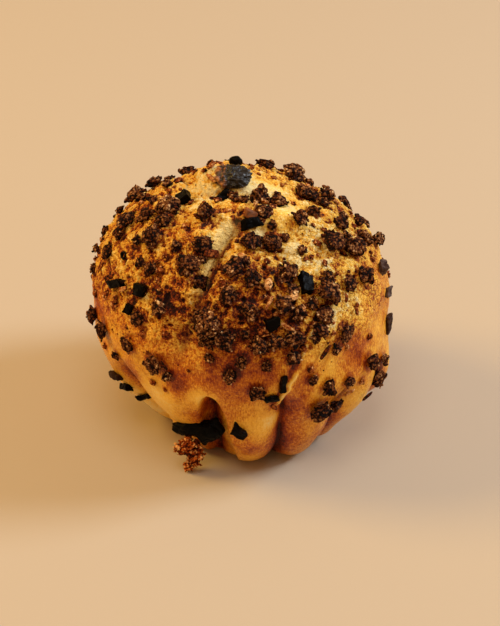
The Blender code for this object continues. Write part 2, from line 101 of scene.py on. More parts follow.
# Lumps of crumb, as in the solid: turn, rise, width.
LUMPS = (
    (54, 80, 6.5), (62, 71, 5.5), (25, 68, 5.5), (143, 48, 7.2), (111, 58, 5.5), (112, 45, 6.0), (55, 57, 5.5),
    (84, 41, 5.0), (60, 40, 7.5), (69, 32, 7.5), (88, 27, 5.5), (102, 17, 5.5), (62, 22, 6.0), (53, 23, 5.0),
    (22, 36, 7.0), (37, 25, 8.0), (33, 18, 5.5), (17, 25, 5.5), (22, 21, 5.5), (19, 13, 6.0), (13, 12, 5.0),
    (7, 11, 5.5), (19, 5, 5.0), (42, 8, 5.5), (30, 13, 5.0), (5, -9, 5.0), (34, -13, 5.0), (31, -23, 6.8),
    (40, -25, 5.5), (57, -12, 4.8), (67, -25, 6.0), (5, 52, 6.5), (20, 50, 6.0), (-5, 40, 6.5), (4, 36, 5.5),
    (-6, 29, 5.0), (3, 24, 6.0), (-35, 62, 6.0), (-26, 48, 6.0), (-28, 38, 7.0), (-68, 54, 8.0), (-58, 50, 5.5),
    (-73, 46, 5.0), (-56, 43, 5.5), (-81, 38, 6.0), (-118, 44, 6.0), (-77, 25, 5.0), (-35, 20, 5.0),
    (-14, 18, 8.5), (-13, 12, 5.0), (-6, 13, 6.0), (-4, -1, 5.0), (-34, -2, 6.5), (-47, 1, 4.5), (-65, -2, 6.0),
    (-77, -3, 5.0),
)
# Smaller crumbs between them, as in the solid: turn, rise, width.
CRUMBS = (
    (-150, 62, 3.2), (160, 55, 3.6), (-38, 82, 3.5), (2, 75, 3.2), (-15, 76, 3.2), (30, 61, 3.2),
    (-105, 55, 3.6), (-98, 44, 3.6), (-118, 52, 3.2), (-110, 40, 3.6), (-112, 34, 3.4), (-105, 30, 3.4),
    (-100, 22, 3.2), (-94, 16, 3.2), (-76, 33, 3.2), (-53, 40, 3.2), (-62, 38, 3.5), (-86, 12, 3.2),
    (-53, 32, 3.2), (-46, 32, 4.0), (-40, 44, 3.5), (-24, 43, 3.5), (-22, 33, 4.4), (-43, 13, 4.0),
    (-88, 50, 3.4), (-29, -6, 3.4), (-57, -10, 3.2), (-12, 5, 3.4), (0, 5, 3.6), (1, 15, 3.2), (1, 43, 4.0),
    (34, 53, 3.2), (37, 44, 3.2), (23, 30, 4.0), (29, 23, 4.0), (43, 30, 4.0), (12, 33, 3.4), (14, 55, 3.2),
    (80, 54, 4.0), (108, 52, 4.0), (100, 48, 4.0), (76, 36, 4.0), (104, 28, 4.2), (97, 38, 3.2), (9, 3, 3.2),
    (27, 11, 3.2), (37, 3, 3.6), (27, -7, 3.6), (44, -14, 3.8), (70, -18, 3.2),
)
# Crumbs too small for the solid: turn, rise, width.
TINY_CRUMBS = (
    # crown
    (-160, 60, 1.8), (-135, 58, 2.5), (172, 62, 2.0), (-62, 74, 2.4), (-40, 73, 2.6),
    # left dome
    (-120, 55, 2.6), (-92, 13, 2.2), (-92, 5, 1.8), (-42, 33, 2.5), (-41, 60, 2.5), (-43, 53, 2.2),
    (-43, 39, 2.2), (-38, 27, 2.0), (-66, 12, 2.5), (-58, 12, 2.5),
    (-70, 17, 2.2), (-90, 34, 2.8), (-80, 17, 2.4),
    # left, low
    (-40, 8, 2.0), (-37, -13, 2.5), (-31, -14, 1.5), (-68, -12, 2.2), (-30, 11, 2.0),
    (-78, 6, 2.4), (-84, -8, 2.0),
    # middle
    (14, 43, 2.2), (27, 54, 2.2), (41, 40, 2.0), (-9, 34, 3.0), (11, 28, 2.6), (8, 16, 3.2),
    # right dome
    (122, 47, 2.2), (113, 38, 2.4), (112, 29, 1.8), (78, 22, 2.2),
    # right, low
    (36, 10, 2.0), (26, -2, 2.6), (52, -18, 2.2), (58, -2, 2.0), (23, 8, 2.4),
)
# Chopped chocolate: turn, rise, length, width, thickness, spin on the crust, lean out of it, and tone from
# black to brown.
CHIPS = (
    (-73, 62.3, 5.2, 4.0, 3.2, 10, 20, 0.0), (-56, 79, 4.5, 3.2, 2.4, 70, 50, 0.1),
    (-60, 20, 6.5, 2.6, 2.8, 35, 20, 0.1), (-46, 23, 5.0, 4.2, 3.4, 5, 15, 0.0),
    (-48, 15, 3.6, 2.6, 2.6, 80, 20, 0.0),
    (8, 67.5, 3.8, 2.8, 2.8, -30, 35, 0.95), (8, 64, 5.2, 3.2, 2.6, 5, 10, 0.0),
    (30, 30, 6.2, 4.4, 3.0, 75, 12, 0.1), (12, 19, 4.2, 3.6, 3.0, 20, 15, 0.1),
    (15, -6, 6.4, 1.8, 2.2, 88, 8, 0.25), (11, -13, 4.4, 3.2, 1.8, 15, 25, 0.1),
    (82, 15, 4.4, 4.2, 2.8, 20, 40, 0.7), (79, 6, 4.0, 2.6, 2.0, 40, 50, 0.7),
    (79, -8, 6.0, 2.2, 2.2, 85, 45, 0.6), (-68, -27, 5.0, 2.8, 1.8, 10, 50, 0.5),
    (-67, -33, 4.8, 2.6, 1.8, 25, 40, 0.1), (-61, -39, 5.4, 2.2, 1.6, 35, 40, 0.1),
    (-1, -28.5, 4.8, 3.4, 2.2, -32, 6, 0.2),
)
# Splinters, flakes and sticks among the crumbs: turn, rise, length, width, thickness, spin, lean, tone.
SLIVERS = (
    (-57, 22, 4.2, 0.9, 0.9, 35, 12, 0.0), (-54, 20.5, 3.2, 1.3, 1.0, 35, 12, 0.8),
    (11, 26, 4.4, 1.0, 0.9, 58, 12, 0.8), (-22, 46, 5.2, 2.6, 1.2, -25, 15, 0.35),
    (56, -26, 3.6, 1.3, 0.9, 30, 10, 0.2), (46, -20, 3.8, 2.0, 0.8, 70, 25, 1.0),
    (70, -20, 3.0, 1.0, 1.0, -40, 55, 0.15), (31, 4, 4.6, 1.3, 0.8, 53, 0, 0.25),
    (-78, 34, 5.0, 1.6, 1.2, 70, 20, 0.1), (0, 45, 3.4, 1.5, 1.0, -40, 15, 0.85),
    (12, 33, 3.2, 2.2, 1.4, 60, 10, 1.0), (22, 27, 2.8, 1.9, 1.6, 20, 10, 0.95),
    (17, 17, 4.2, 1.3, 1.1, -35, 15, 0.9), (12, -17, 3.6, 1.2, 1.0, -60, 15, 0.4),
    (-67, 56, 6.5, 1.3, 1.3, 28, 20, 0.25), (-62, 52, 6.0, 1.2, 1.2, 28, 20, 0.3),
    (-40, 64, 3.6, 1.4, 1.0, 10, 20, 0.5), (27, 56, 4.6, 1.4, 1.0, -10, 10, 0.5),
    (24, 22, 3.0, 1.6, 1.6, 50, 20, 0.9), (36, 27, 4.0, 1.5, 1.3, -20, 20, 0.65),
    (46, 20, 2.6, 1.2, 0.8, 60, 10, 0.45), (62, 43, 3.6, 1.2, 1.0, 30, 20, 0.3),
    (90, 30, 4.0, 1.2, 1.0, -50, 20, 0.2), (4, 55, 4.0, 1.3, 1.1, 15, 20, 0.35),
    (-30, -1, 3.4, 0.9, 0.9, -50, 20, 0.15), (50, 13, 2.2, 1.1, 0.8, 65, 5, 0.45),
    (-128, 74, 4.6, 1.4, 1.2, 25, 15, 0.6), (-100, 77, 4.4, 1.3, 1.1, -15, 15, 0.85),
    (60, 76, 4.2, 1.0, 0.9, 70, 25, 0.9), (44, 74, 4.4, 1.0, 0.9, 80, 25, 0.75),
)
# Curled rings of scorched sugar and chocolate: turn, rise, width over all, thickness, lean, tone.
RINGS = ((-65, 30, 3.0, 0.9, 5, 0.25), (-172, 66, 4.2, 1.8, 50, 0.0), (-47, 0, 3.4, 1.0, 10, 0.2))
CHIP_SKEW = 0.18
SINK = 0.18  # how deep a topping sits in the crust, as a share of its height
# The rule for the crumbs round the back, as in the solid.
CRUMB_COUNT = 40
BEST_SEEN_RISE, TURNED_AWAY = 32.5, -0.12
CRUMB_WIDTHS, SHRINK, CLEARANCE = (7.0, 3.0), 0.6, 1.02
CRUMB_LOWEST_RISE, LOOSE_LOWEST_RISE = -16, -22
# How a crumb is put together, by its width: its core, its bits, how far out they reach, and how flat it lies.
CORE_RADIUS, BIT_SIZES, BIT_REACH, CRUMB_FLATNESS = 0.38, (0.17, 0.46), 0.53, (0.62, 0.85)
FEWEST_BITS, BITS_PER_MM = 7, 1.9
FINE_BIT = 2.2  # millimetres from which a bit is made of more triangles
GRAIN_CORNERS = 12

CROWN_CHIP_TURN, CROWN_CHIP_RISE, CROWN_CHIP_LEAN = -110, 85.5, 16
CROWN_CHIP_SIZE = (10.4 * MM, 8.4 * MM, 4.6 * MM)
MELT_MIDDLE = (-12.8 * MM, -32.7 * MM, 14.5 * MM)
MELT_SIZE = (16.0 * MM, 5.4 * MM, 4.8 * MM)
MELT_TURN, MELT_ROLL, MELT_TAPER = -20.0, -5.0, 0.24
# Bulges of the chocolate that ran: up (1) or down (-1), place along it, spread, amount.
MELT_BULGES = (
    (1, -0.12, 0.15, 0.55), (1, 0.38, 0.15, 1.0),
    (-1, -0.34, 0.16, 0.9), (-1, 0.12, 0.07, 0.9), (-1, 0.36, 0.16, 0.6),
)
FLAKE_MIDDLE = (-17.2 * MM, -33.6 * MM, 6.1 * MM)
FLAKE_HEIGHT, FLAKE_THICKNESS = 10.8 * MM, 3.6 * MM
# The flake from its top down: share of its height, middle, width.
FLAKE_COURSE = (
    (0.0, 2.2, 4.2), (0.22, 0.9, 8.0), (0.42, 1.6, 7.0), (0.55, 3.7, 4.8), (0.75, 3.2, 3.6), (1.0, 1.4, 1.6),
)
FLAKE_BLUNTNESS, FLAKE_CRAG = 6, 0.35
SHARD_COUNT = 190

# The pale torn dough at the front seam's top and foot: half its width, and how far left of the seam it lies.
SEAM_HALF_WIDTHS, SEAM_SHIFTS = (2.4, 1.3), (1.5, 0.4)
SEAM_LIFT = 1.5  # how far its left side is drawn up
# Spacing of the crust's folds, wrinkles, burst cups and soft lumps.
FOLDS, WRINKLES, CUPS, SOFT_LUMPS = 3.4, 1.5, 1.9, 2.4
SOAK_AND_SHADOW_WIDTH = 0.6  # of the darker ring round each crumb on the crust: partly cocoa fat soaked in, partly painted shadow of the crumb
# The camera, as the bun was seen: from 62 cm away and 32.5 degrees above it.
CAMERA_TARGET = (2.1 * MM, 0.0, 32.6 * MM)
CAMERA_DISTANCE = 0.620
CAMERA_ELEVATION = 32.5
CAMERA_LENS = 121.6  # on a frame 36 mm high

CLOSER = 0.5  # how far the crust's grid is drawn together towards the front

FLOOR_HALF_WIDTH = 2.5
# Soft lights: name, place, width, colour.
LIGHTS = (
    ("key", (1.00, 0.16, 0.80), 0.42, "#E6F2FF"),
    ("warm", (-0.85, 0.15, 0.80), 0.46, "#FFD070"),
    ("fill", (-0.10, -0.45, 1.50), 1.00, "#F6F2EA"),
)
LIT_POINT = (0.0, 0.0, 0.03)
ROOM_COLOUR = "#FFC68C"

# Colours of the crust from straw to burnt, by toast, with painted shade and painted light mixed into it.
CRUST_STOPS = (
    (0.0, "#FFE9A6"), (0.15, "#FFD878"), (0.30, "#FCC84C"), (0.45, "#EDAE36"), (0.60, "#C56E0E"),
    (0.74, "#903602"), (0.87, "#581200"), (1.0, "#260400"),
)
# The pale of the torn dough, and the painted shade laid along the seam's wall and in the dimple.
TORN_DOUGH, SEAM_SHADE = "#F2D07A", "#4A1C0E"
# Colours of the toppings from dark to light, by tone.
CRUMB_STOPS = ((0.0, "#0A0200"), (0.15, "#3C1103"), (0.45, "#6E401C"), (0.8, "#9E7044"), (1.0, "#DEB882"))
GRAIN_STOPS = ((0.0, "#1A0A03"), (0.3, "#603416"), (0.65, "#A87444"), (1.0, "#F4D8A8"))
LOOSE_STOPS = ((0.0, "#1A0903"), (0.3, "#743010"), (0.6, "#A86028"), (1.0, "#E2AC6C"))
CHIP_STOPS = ((0.0, "#010101"), (0.25, "#040202"), (0.6, "#33201A"), (0.8, "#66544C"), (1.0, "#7E4826"))
# Greys and browns of the big chip: bloom, the crumb on its left, and the painted highlight on its wrinkles'
# crests.
BLOOM_AND_HIGHLIGHT_STOPS = ((0.0, "#030201"), (0.25, "#1E1612"), (0.45, "#4A3224"), (0.7, "#6A3E1E"), (1.0, "#A8703C"))
FLAKE_STOPS = ((0.0, "#180600"), (0.3, "#742804"), (0.6, "#C46018"), (1.0, "#FFCC80"))


# Shape of the bun


def unit(turn, rise):
    """The direction with this turn and rise, both in degrees."""
    t, r = np.radians(turn), np.radians(rise)
    return np.stack([np.sin(t) * np.cos(r), -np.cos(t) * np.cos(r), np.sin(r)], -1)


def angles(d):
    """Turn and rise of each direction, in degrees."""
    level = np.hypot(d[..., 0], d[..., 1])
    return np.degrees(np.arctan2(d[..., 0], -d[..., 1])), np.degrees(np.arctan2(d[..., 2], level))


def smooth_step(x):
    x = np.clip(x, 0.0, 1.0)
    return x * x * (3 - 2 * x)


def cell_hash(q, seed):
    """A number from 0 to 1 for each whole-numbered cell."""
    h = np.sin(q @ [127.1, 311.7, 74.7] + seed * 53.3) * 43758.5453
    return h - np.floor(h)


def value_noise(p, seed=0):
    """Smooth noise from -1 to 1, one cell to each unit of p."""
    cell = np.floor(p).astype(np.int64)
    f = p - cell
    f = f * f * (3 - 2 * f)
    total = 0.0
    for corner in range(8):
        step = np.array([corner & 1, corner >> 1 & 1, corner >> 2])
        weight = np.prod(np.where(step, f, 1 - f), -1)
        total = total + weight * (2 * cell_hash(cell + step, seed) - 1)
    return total


def layered_noise(p, seed, layers=3):
    """Value noise with finer and fainter layers added."""
    total, scale = 0.0, 1.0
    for i in range(layers):
        total = total + value_noise(p * scale, seed + i) / scale
        scale *= 2.03
    return total


def noise_vector(p, seed, step=0):
    """Three value noises side by side, to push points about with."""
    return np.stack([value_noise(p + step * k, seed + k) for k in range(3)], -1)


def ridges(p, seed):
    """1 along winding crests, falling to 0 between them."""
    return 1 - np.minimum(np.abs(value_noise(p, seed)) * 3.2, 1)


def nearest_spot(p, seed):
    """Distance to the nearest of a scatter of spots, about one to a unit cell, and that spot's own number."""
    cell = np.floor(p).astype(np.int64)
    best = np.full(p.shape[:-1], 9.0)
    number = np.zeros(p.shape[:-1])
    for i in range(27):
        q = cell + np.array([i % 3 - 1, i // 3 % 3 - 1, i // 9 - 1])
        spot = q + np.stack([cell_hash(q, seed + k) for k in (1, 2, 3)], -1)
        off = np.linalg.norm(p - spot, axis=-1)
        number = np.where(off < best, cell_hash(q, seed + 4), number)
        best = np.minimum(best, off)
    return best, number


def swell(d, turn, rise, spread):
    """1 in one direction, fading out over this many degrees."""
    angle = np.degrees(np.arccos(np.clip(d @ unit(turn, rise), -1, 1)))
    return np.exp(-((angle / spread) ** 2))


def along_course(d, course):
    """Millimetres off a course on the crust, positive on the right for one who runs along it, and the number of
    its stops that are passed."""
    nearest = np.full(d.shape[:-1], 9.0)
    side, passed = np.zeros(d.shape[:-1]), np.zeros(d.shape[:-1])
    stops = [unit(*stop) for stop in course]
    for i, (a, b) in enumerate(zip(stops, stops[1:])):
        share = np.clip(((d - a) @ (b - a)) / ((b - a) @ (b - a)), 0, 1)
        off = np.linalg.norm(d - a - share[..., None] * (b - a), axis=-1)
        across = d @ np.cross(b, a)
        closer = off < nearest
        side = np.where(closer, np.sign(across), side)
        passed = np.where(closer, i + share, passed)
        nearest = np.minimum(nearest, off)
    return nearest * side * HALF_WIDTH / MM, passed


def along(passed, course, quickness=1.0, least=0.3):
    """1 along a course, running out at both its ends."""
    return smooth_step(np.minimum(passed, len(course) - 1 - passed) * quickness + least)


def seam_depth(d, width, depth, course):
    """How deep one torn seam is in each direction."""
    off, passed = along_course(d, course)
    return depth * MM * along(passed, course) * np.exp(-((off / width) ** 2))


def above_foot(rise):
    """1 on the sides, 0 under the flat foot."""
    return smooth_step((rise - FOOT_RISE[0]) / (FOOT_RISE[1] - FOOT_RISE[0]))


def flute_depth(turn, rise):
    """How deep the tin's flutes draw the dough in, 0 along the middle of each lobe."""
    depth = np.zeros_like(turn)
    for (t0, d0, r0), (t1, d1, r1) in zip(GROOVES, GROOVES[1:] + ((GROOVES[0][0] + 360, *GROOVES[0][1:]),)):
        at = np.where(turn < GROOVES[0][0], turn + 360, turn)
        s = (at - t0) / (t1 - t0)
        inside = (s >= 0) & (s < 1)
        s = np.clip(s, 0, 1)
        bulge = (4 * s * (1 - s)) ** LOBE_ROUNDNESS
        ends = r0 + (r1 - r0) * smooth_step(s)
        reach = smooth_step((ends - rise) / FLUTE_FADE) * above_foot(rise)
        depth = np.where(inside, (d0 + (d1 - d0) * smooth_step(s)) * (1 - bulge) * reach, depth)
    return depth * MM


def hollow_share(turn, rise):
    """1 where the arched hollow at the front is deepest, 0 outside it."""
    below = np.clip(HOLLOW_TOP - rise, 0, 40)
    off_axis = turn - (HOLLOW_TURN + HOLLOW_LEAN * below)
    across = (HOLLOW_HALF_WIDTH + HOLLOW_FLARE * np.sqrt(below) - np.abs(off_axis)) / HOLLOW_EDGE
    start, end, lost = HOLLOW_FLOOR
    depth = 1 - lost * smooth_step((below - start) / (end - start))
    arch = (HOLLOW_TOP - rise) / HOLLOW_EDGE
    return depth * smooth_step(across + 0.5) * smooth_step(arch + 0.5) * above_foot(rise)


def dough_radius(d):
    """Distance from the heart to the crust in each direction."""
    level = np.hypot(d[..., 0], d[..., 1])
    turn, rise = angles(d)
    tall = np.where(d[..., 2] > 0, DOME_HEIGHT, KEEL_DEPTH)
    r = 1 / np.sqrt((level / HALF_WIDTH) ** 2 + (d[..., 2] / tall) ** 2)
    for t, s, spread, height in SWELLS:
        r = r + height * MM * swell(d, t, s, spread)
    for seed, (height, cells) in enumerate(ROLLING, 5):
        r = r + height * value_noise(d * cells, seed)
    r = r - flute_depth(turn, rise)
    for width, depth, course in SEAMS:
        r = r - seam_depth(d, width, depth, course)
    return r - HOLLOW_DEPTH * hollow_share(turn, rise)


def crust_point(d):
    """The crust in each direction, rounded off where it meets the floor."""
    r = dough_radius(d)
    floor = np.where(d[..., 2] < -0.05, HEART_HEIGHT / np.maximum(-d[..., 2], 0.05), 1.0)
    near = np.maximum(FOOT_ROUNDING - np.abs(r - floor), 0) / FOOT_ROUNDING
    r = np.minimum(r, floor) - near**2 * FOOT_ROUNDING / 4
    p = d * r[..., None]
    p[..., 2] += HEART_HEIGHT
    p[..., 2] = np.maximum(p[..., 2], 0.0)
    return p


def crust_normals(d):
    """Outward direction of the crust around each direction, over a span of about three degrees."""
    side = np.cross(d, [0.0, 0.0, 1.0])
    side /= np.linalg.norm(side, axis=-1, keepdims=True)
    up = np.cross(side, d)
    reach = 0.03
    a, b, c, e = (crust_point(v / np.linalg.norm(v, axis=-1, keepdims=True)) for v in (
        d + side * reach, d - side * reach, d + up * reach, d - up * reach))
    n = np.cross(a - b, c - e)
    n /= np.linalg.norm(n, axis=-1, keepdims=True)
    return n * np.sign(np.sum(n * d, -1, keepdims=True))


def seats(places):
    """Point and outward direction of the crust at each place, which starts with its turn and rise."""
    d = unit(*np.array([p[:2] for p in places], float).T)
    return crust_point(d), crust_normals(d)


def seat(point, normal, sink, spin, lean=0.0):
    """Where a piece sits: its middle a little out of the crust, its Z along the crust's normal."""
    n = Vector(normal)
    turned = n.to_track_quat("Z", "Y").to_matrix().to_4x4()
    place = Matrix.Translation(Vector(point) + n * sink)
    return place @ turned @ Matrix.Rotation(spin, 4, "Z") @ Matrix.Rotation(lean, 4, "X")


# Meshes and materials


class Pile:
    """Many small shapes gathered into one mesh, each with a tone of its own."""

    def __init__(self):
        self.bm = bmesh.new()
        self.tones = []

    def add(self, bm, tone):
        count = len(bm.verts)
        self.tones.append(np.broadcast_to(np.asarray(tone, float), (count,)))
        mesh = bpy.data.meshes.new("gathered")
        bm.to_mesh(mesh)
        bm.free()
        self.bm.from_mesh(mesh)
        bpy.data.meshes.remove(mesh)

    def finish(self, name, material, node, slot, smooth=True):
        tones = np.concatenate(self.tones)
        return new_piece(name, self.bm, material, node, {"tone": tones}, smooth)


def new_piece(name, bm, material, node, marks=None, smooth=True):
    """Turns a bmesh into a finished piece that stands for a node, with its marks kept as attributes."""
    mesh = bpy.data.meshes.new(name)
    bm.to_mesh(mesh)
    bm.free()
    mesh.materials.append(material)
    mesh.polygons.foreach_set("use_smooth", [smooth] * len(mesh.polygons))
    for key, values in (marks or {}).items():
        attribute = mesh.attributes.new(key, "FLOAT", "POINT")
        attribute.data.foreach_set("value", np.asarray(values, np.float32))
    obj = bpy.data.objects.new(name, mesh)
    bpy.context.scene.collection.objects.link(obj)
    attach(obj, "root")
    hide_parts(node)
    return obj


def vertex_array(bm):
    return np.array([v.co for v in bm.verts])


def vertex_normals(bm):
    return np.array([v.normal for v in bm.verts])


def move_vertices(bm, points):
    for vert, point in zip(bm.verts, points):
        vert.co = point


def push_out(bm, amounts):
    """Moves each corner along its normal by so many millimetres."""
    for vert, amount in zip(bm.verts, amounts):
        vert.co += vert.normal * float(amount) * MM


def ball(subdivisions, radius=0.5):
    """A round of small triangles, to be made into something uneven."""
    bm = bmesh.new()
    bmesh.ops.create_icosphere(bm, subdivisions=subdivisions, radius=radius)
    return bm


def set_down(bm, place, size=(1, 1, 1)):
    """Sets a shape made in millimetres, or a unit shape of this size in millimetres, in its place."""
    bmesh.ops.transform(bm, matrix=place @ Matrix.Diagonal((*(s * MM for s in size), 1)), verts=bm.verts)


def linear(colour):
    """An sRGB hex value as the linear colour that a shader takes."""
    parts = [int(colour[i:i + 2], 16) / 255 for i in (1, 3, 5)]
    return (*(c / 12.92 if c <= 0.04045 else ((c + 0.055) / 1.055) ** 2.4 for c in parts), 1.0)


def add_node(tree, kind, inputs=None, stops=(), **settings):
    """Adds one node with its settings, colour stops, and inputs, each a value or the socket it comes from."""
    node = tree.nodes.new(kind)
    for key, value in settings.items():
        setattr(node, key, value)
    for socket, value in (inputs or {}).items():
        if isinstance(value, bpy.types.NodeSocket):
            tree.links.new(value, node.inputs[socket])
        else:
            node.inputs[socket].default_value = value
    if stops:
        elements = node.color_ramp.elements
        while len(elements) < len(stops):
            elements.new(1.0)
        for element, (place, colour) in zip(elements, stops):
            element.position = place
            element.color = linear(colour)
    return node


def add_centred(tree, pattern, amount, base):
    """Adds the nodes for base + amount * (pattern - a half). The amount is a number or a socket."""
    off = add_node(tree, "ShaderNodeMath", {0: pattern, 1: 0.5}, operation="SUBTRACT").outputs[0]
    return add_node(tree, "ShaderNodeMath", {0: off, 1: amount, 2: base}, operation="MULTIPLY_ADD").outputs[0]


def new_material(name, roughness, ior, specular):
    material = bpy.data.materials.new(name)
    material.use_nodes = True
    shader = material.node_tree.nodes["Principled BSDF"]
    for socket, value in (("Roughness", roughness), ("IOR", ior), ("Specular IOR Level", specular)):
        shader.inputs[socket].default_value = value
    return material, material.node_tree, shader


def per_mm(size):
    """Pattern scale for cells of this many millimetres on coordinates in metres."""
    return 1 / (size * MM)


def chocolate_material(name, stops, roughness, specular):
    """Dark chocolate, melted and set again in the oven. It gives the eye a near-black with a soft, broken gloss,
    and grey-brown bloom in clouds where it dried."""
    material, tree, shader = new_material(name, roughness, 1.5, specular)
    where = add_node(tree, "ShaderNodeTexCoord").outputs["Object"]
    tone = add_node(tree, "ShaderNodeAttribute", attribute_name="tone").outputs["Fac"]
    cloud = add_node(tree, "ShaderNodeTexNoise", {
        "Vector": where, "Scale": per_mm(1.4), "Detail": 4.0, "Roughness": 0.65}).outputs["Fac"]
    shade = add_centred(tree, cloud, 0.7, tone)
    colour = add_node(tree, "ShaderNodeValToRGB", {"Fac": shade}, stops).outputs["Color"]
    tree.links.new(colour, shader.inputs["Base Color"])
    skin = add_node(tree, "ShaderNodeTexNoise", {"Vector": where, "Scale": per_mm(0.45), "Detail": 2.0})
    bump = add_node(tree, "ShaderNodeBump", {
        "Height": skin.outputs["Fac"], "Strength": 0.5, "Distance": 0.12 * MM})
    tree.links.new(bump.outputs[0], shader.inputs["Normal"])
    return material


def crust_material():
    """Baked brioche crust: enriched dough, egg-washed and browned in a tin. It gives the eye a gold that runs
    from straw on the torn, stretched parts to red-brown where the sugar caught, with fine pits and crackle on the
    dome and a satin, faintly wrinkled skin on the lobes. Painted shade darkens its grooves, pores, cracks and
    seam wall, and painted light pales its crests."""
    material, tree, shader = new_material("baked brioche crust", 0.5, 1.45, 0.32)
    where = add_node(tree, "ShaderNodeTexCoord").outputs["Object"]
    toast, craggy, cream, stain, crackled = (
        add_node(tree, "ShaderNodeAttribute", attribute_name=mark).outputs["Fac"]
        for mark in ("toast", "craggy", "cream", "stain", "crackled")
    )
    # blotches of browning, speckle, fibres of the skin that run down the lobes, and wrinkles, each by its size
    drawn = add_node(tree, "ShaderNodeVectorMath", {0: where, 1: (1, 1, 0.35)}, operation="MULTIPLY").outputs[0]
    blotches, speckle, fibres, wrinkles = (
        add_node(tree, "ShaderNodeTexNoise", {
            "Vector": source, "Scale": per_mm(size), "Detail": detail, "Roughness": rough, "Distortion": twist,
        }).outputs["Fac"]
        for source, size, detail, rough, twist in (
            (where, 3.4, 4.0, 0.6, 0.0), (where, 0.7, 4.0, 0.75, 0.0), (drawn, 0.42, 3.0, 0.7, 0.0),
            (where, 0.8, 4.0, 0.65, 0.6),
        )
    )
    # open pores of the dome, 1.1 mm apart, and crackle of the stretched pale skin, in bent plates 2 mm wide
    pores = add_node(tree, "ShaderNodeTexVoronoi", {"Vector": where, "Scale": per_mm(1.1), "Randomness": 1.0})
    bend = add_node(tree, "ShaderNodeTexNoise", {"Vector": where, "Scale": per_mm(1.2), "Detail": 2.0})
    bent = add_node(tree, "ShaderNodeMix", {0: 0.0012, 4: where, 5: bend.outputs["Color"]}, data_type="VECTOR")
    plates = add_node(tree, "ShaderNodeTexVoronoi", {"Vector": bent.outputs[1], "Scale": per_mm(2.0)},
                      feature="DISTANCE_TO_EDGE")
    dips = []
    for pattern, near, far, share in ((pores, 0.10, 0.38, craggy), (plates, 0.0, 0.11, crackled)):
        dip = add_node(tree, "ShaderNodeMapRange", {
            "Value": pattern.outputs["Distance"], "From Min": near, "From Max": far,
            "To Min": 1.0, "To Max": 0.0,
        }, interpolation_type="SMOOTHSTEP").outputs["Result"]
        dips.append(add_node(tree, "ShaderNodeMath", {0: dip, 1: share}, operation="MULTIPLY").outputs[0])
    fine, broad = (
        add_node(tree, "ShaderNodeMath", {0: craggy, 1: more, 2: least}, operation="MULTIPLY_ADD").outputs[0]
        for more, least in ((1.2, 0.42), (0.45, 0.40))
    )
    browning_and_shade = toast
    for pattern, amount in ((blotches, broad), (fibres, 0.55), (speckle, fine)):
        browning_and_shade = add_centred(tree, pattern, amount, browning_and_shade)
    relief = add_node(tree, "ShaderNodeMath", {0: wrinkles, 1: fine}, operation="MULTIPLY").outputs[0]
    # painted shade: the pores and the cracks between the plates are drawn darker as well as deeper
    for dip, darker, deeper in zip(dips, (0.20, 0.30), (-0.5, -0.4)):
        browning_and_shade, relief = (
            add_node(tree, "ShaderNodeMath", {0: dip, 1: amount, 2: base}, operation="MULTIPLY_ADD").outputs[0]
            for amount, base in ((darker, browning_and_shade), (deeper, relief))
        )
    colour = add_node(tree, "ShaderNodeValToRGB", {"Fac": browning_and_shade}, CRUST_STOPS).outputs["Color"]
    # the pale torn dough, then the painted shade along the seam's wall and in the dimple, laid over the crust
    for share, over in ((cream, TORN_DOUGH), (stain, SEAM_SHADE)):
        laid_over = {0: share, 6: colour, 7: linear(over)}
        colour = add_node(tree, "ShaderNodeMix", laid_over, data_type="RGBA").outputs[2]
    tree.links.new(colour, shader.inputs["Base Color"])
    bump = add_node(tree, "ShaderNodeBump", {"Height": relief, "Strength": 1.0, "Distance": 0.85 * MM})
    tree.links.new(bump.outputs[0], shader.inputs["Normal"])
    satin = add_node(tree, "ShaderNodeMapRange", {"Value": craggy, "To Min": 0.34, "To Max": 0.7})
    tree.links.new(satin.outputs[0], shader.inputs["Roughness"])
    return material


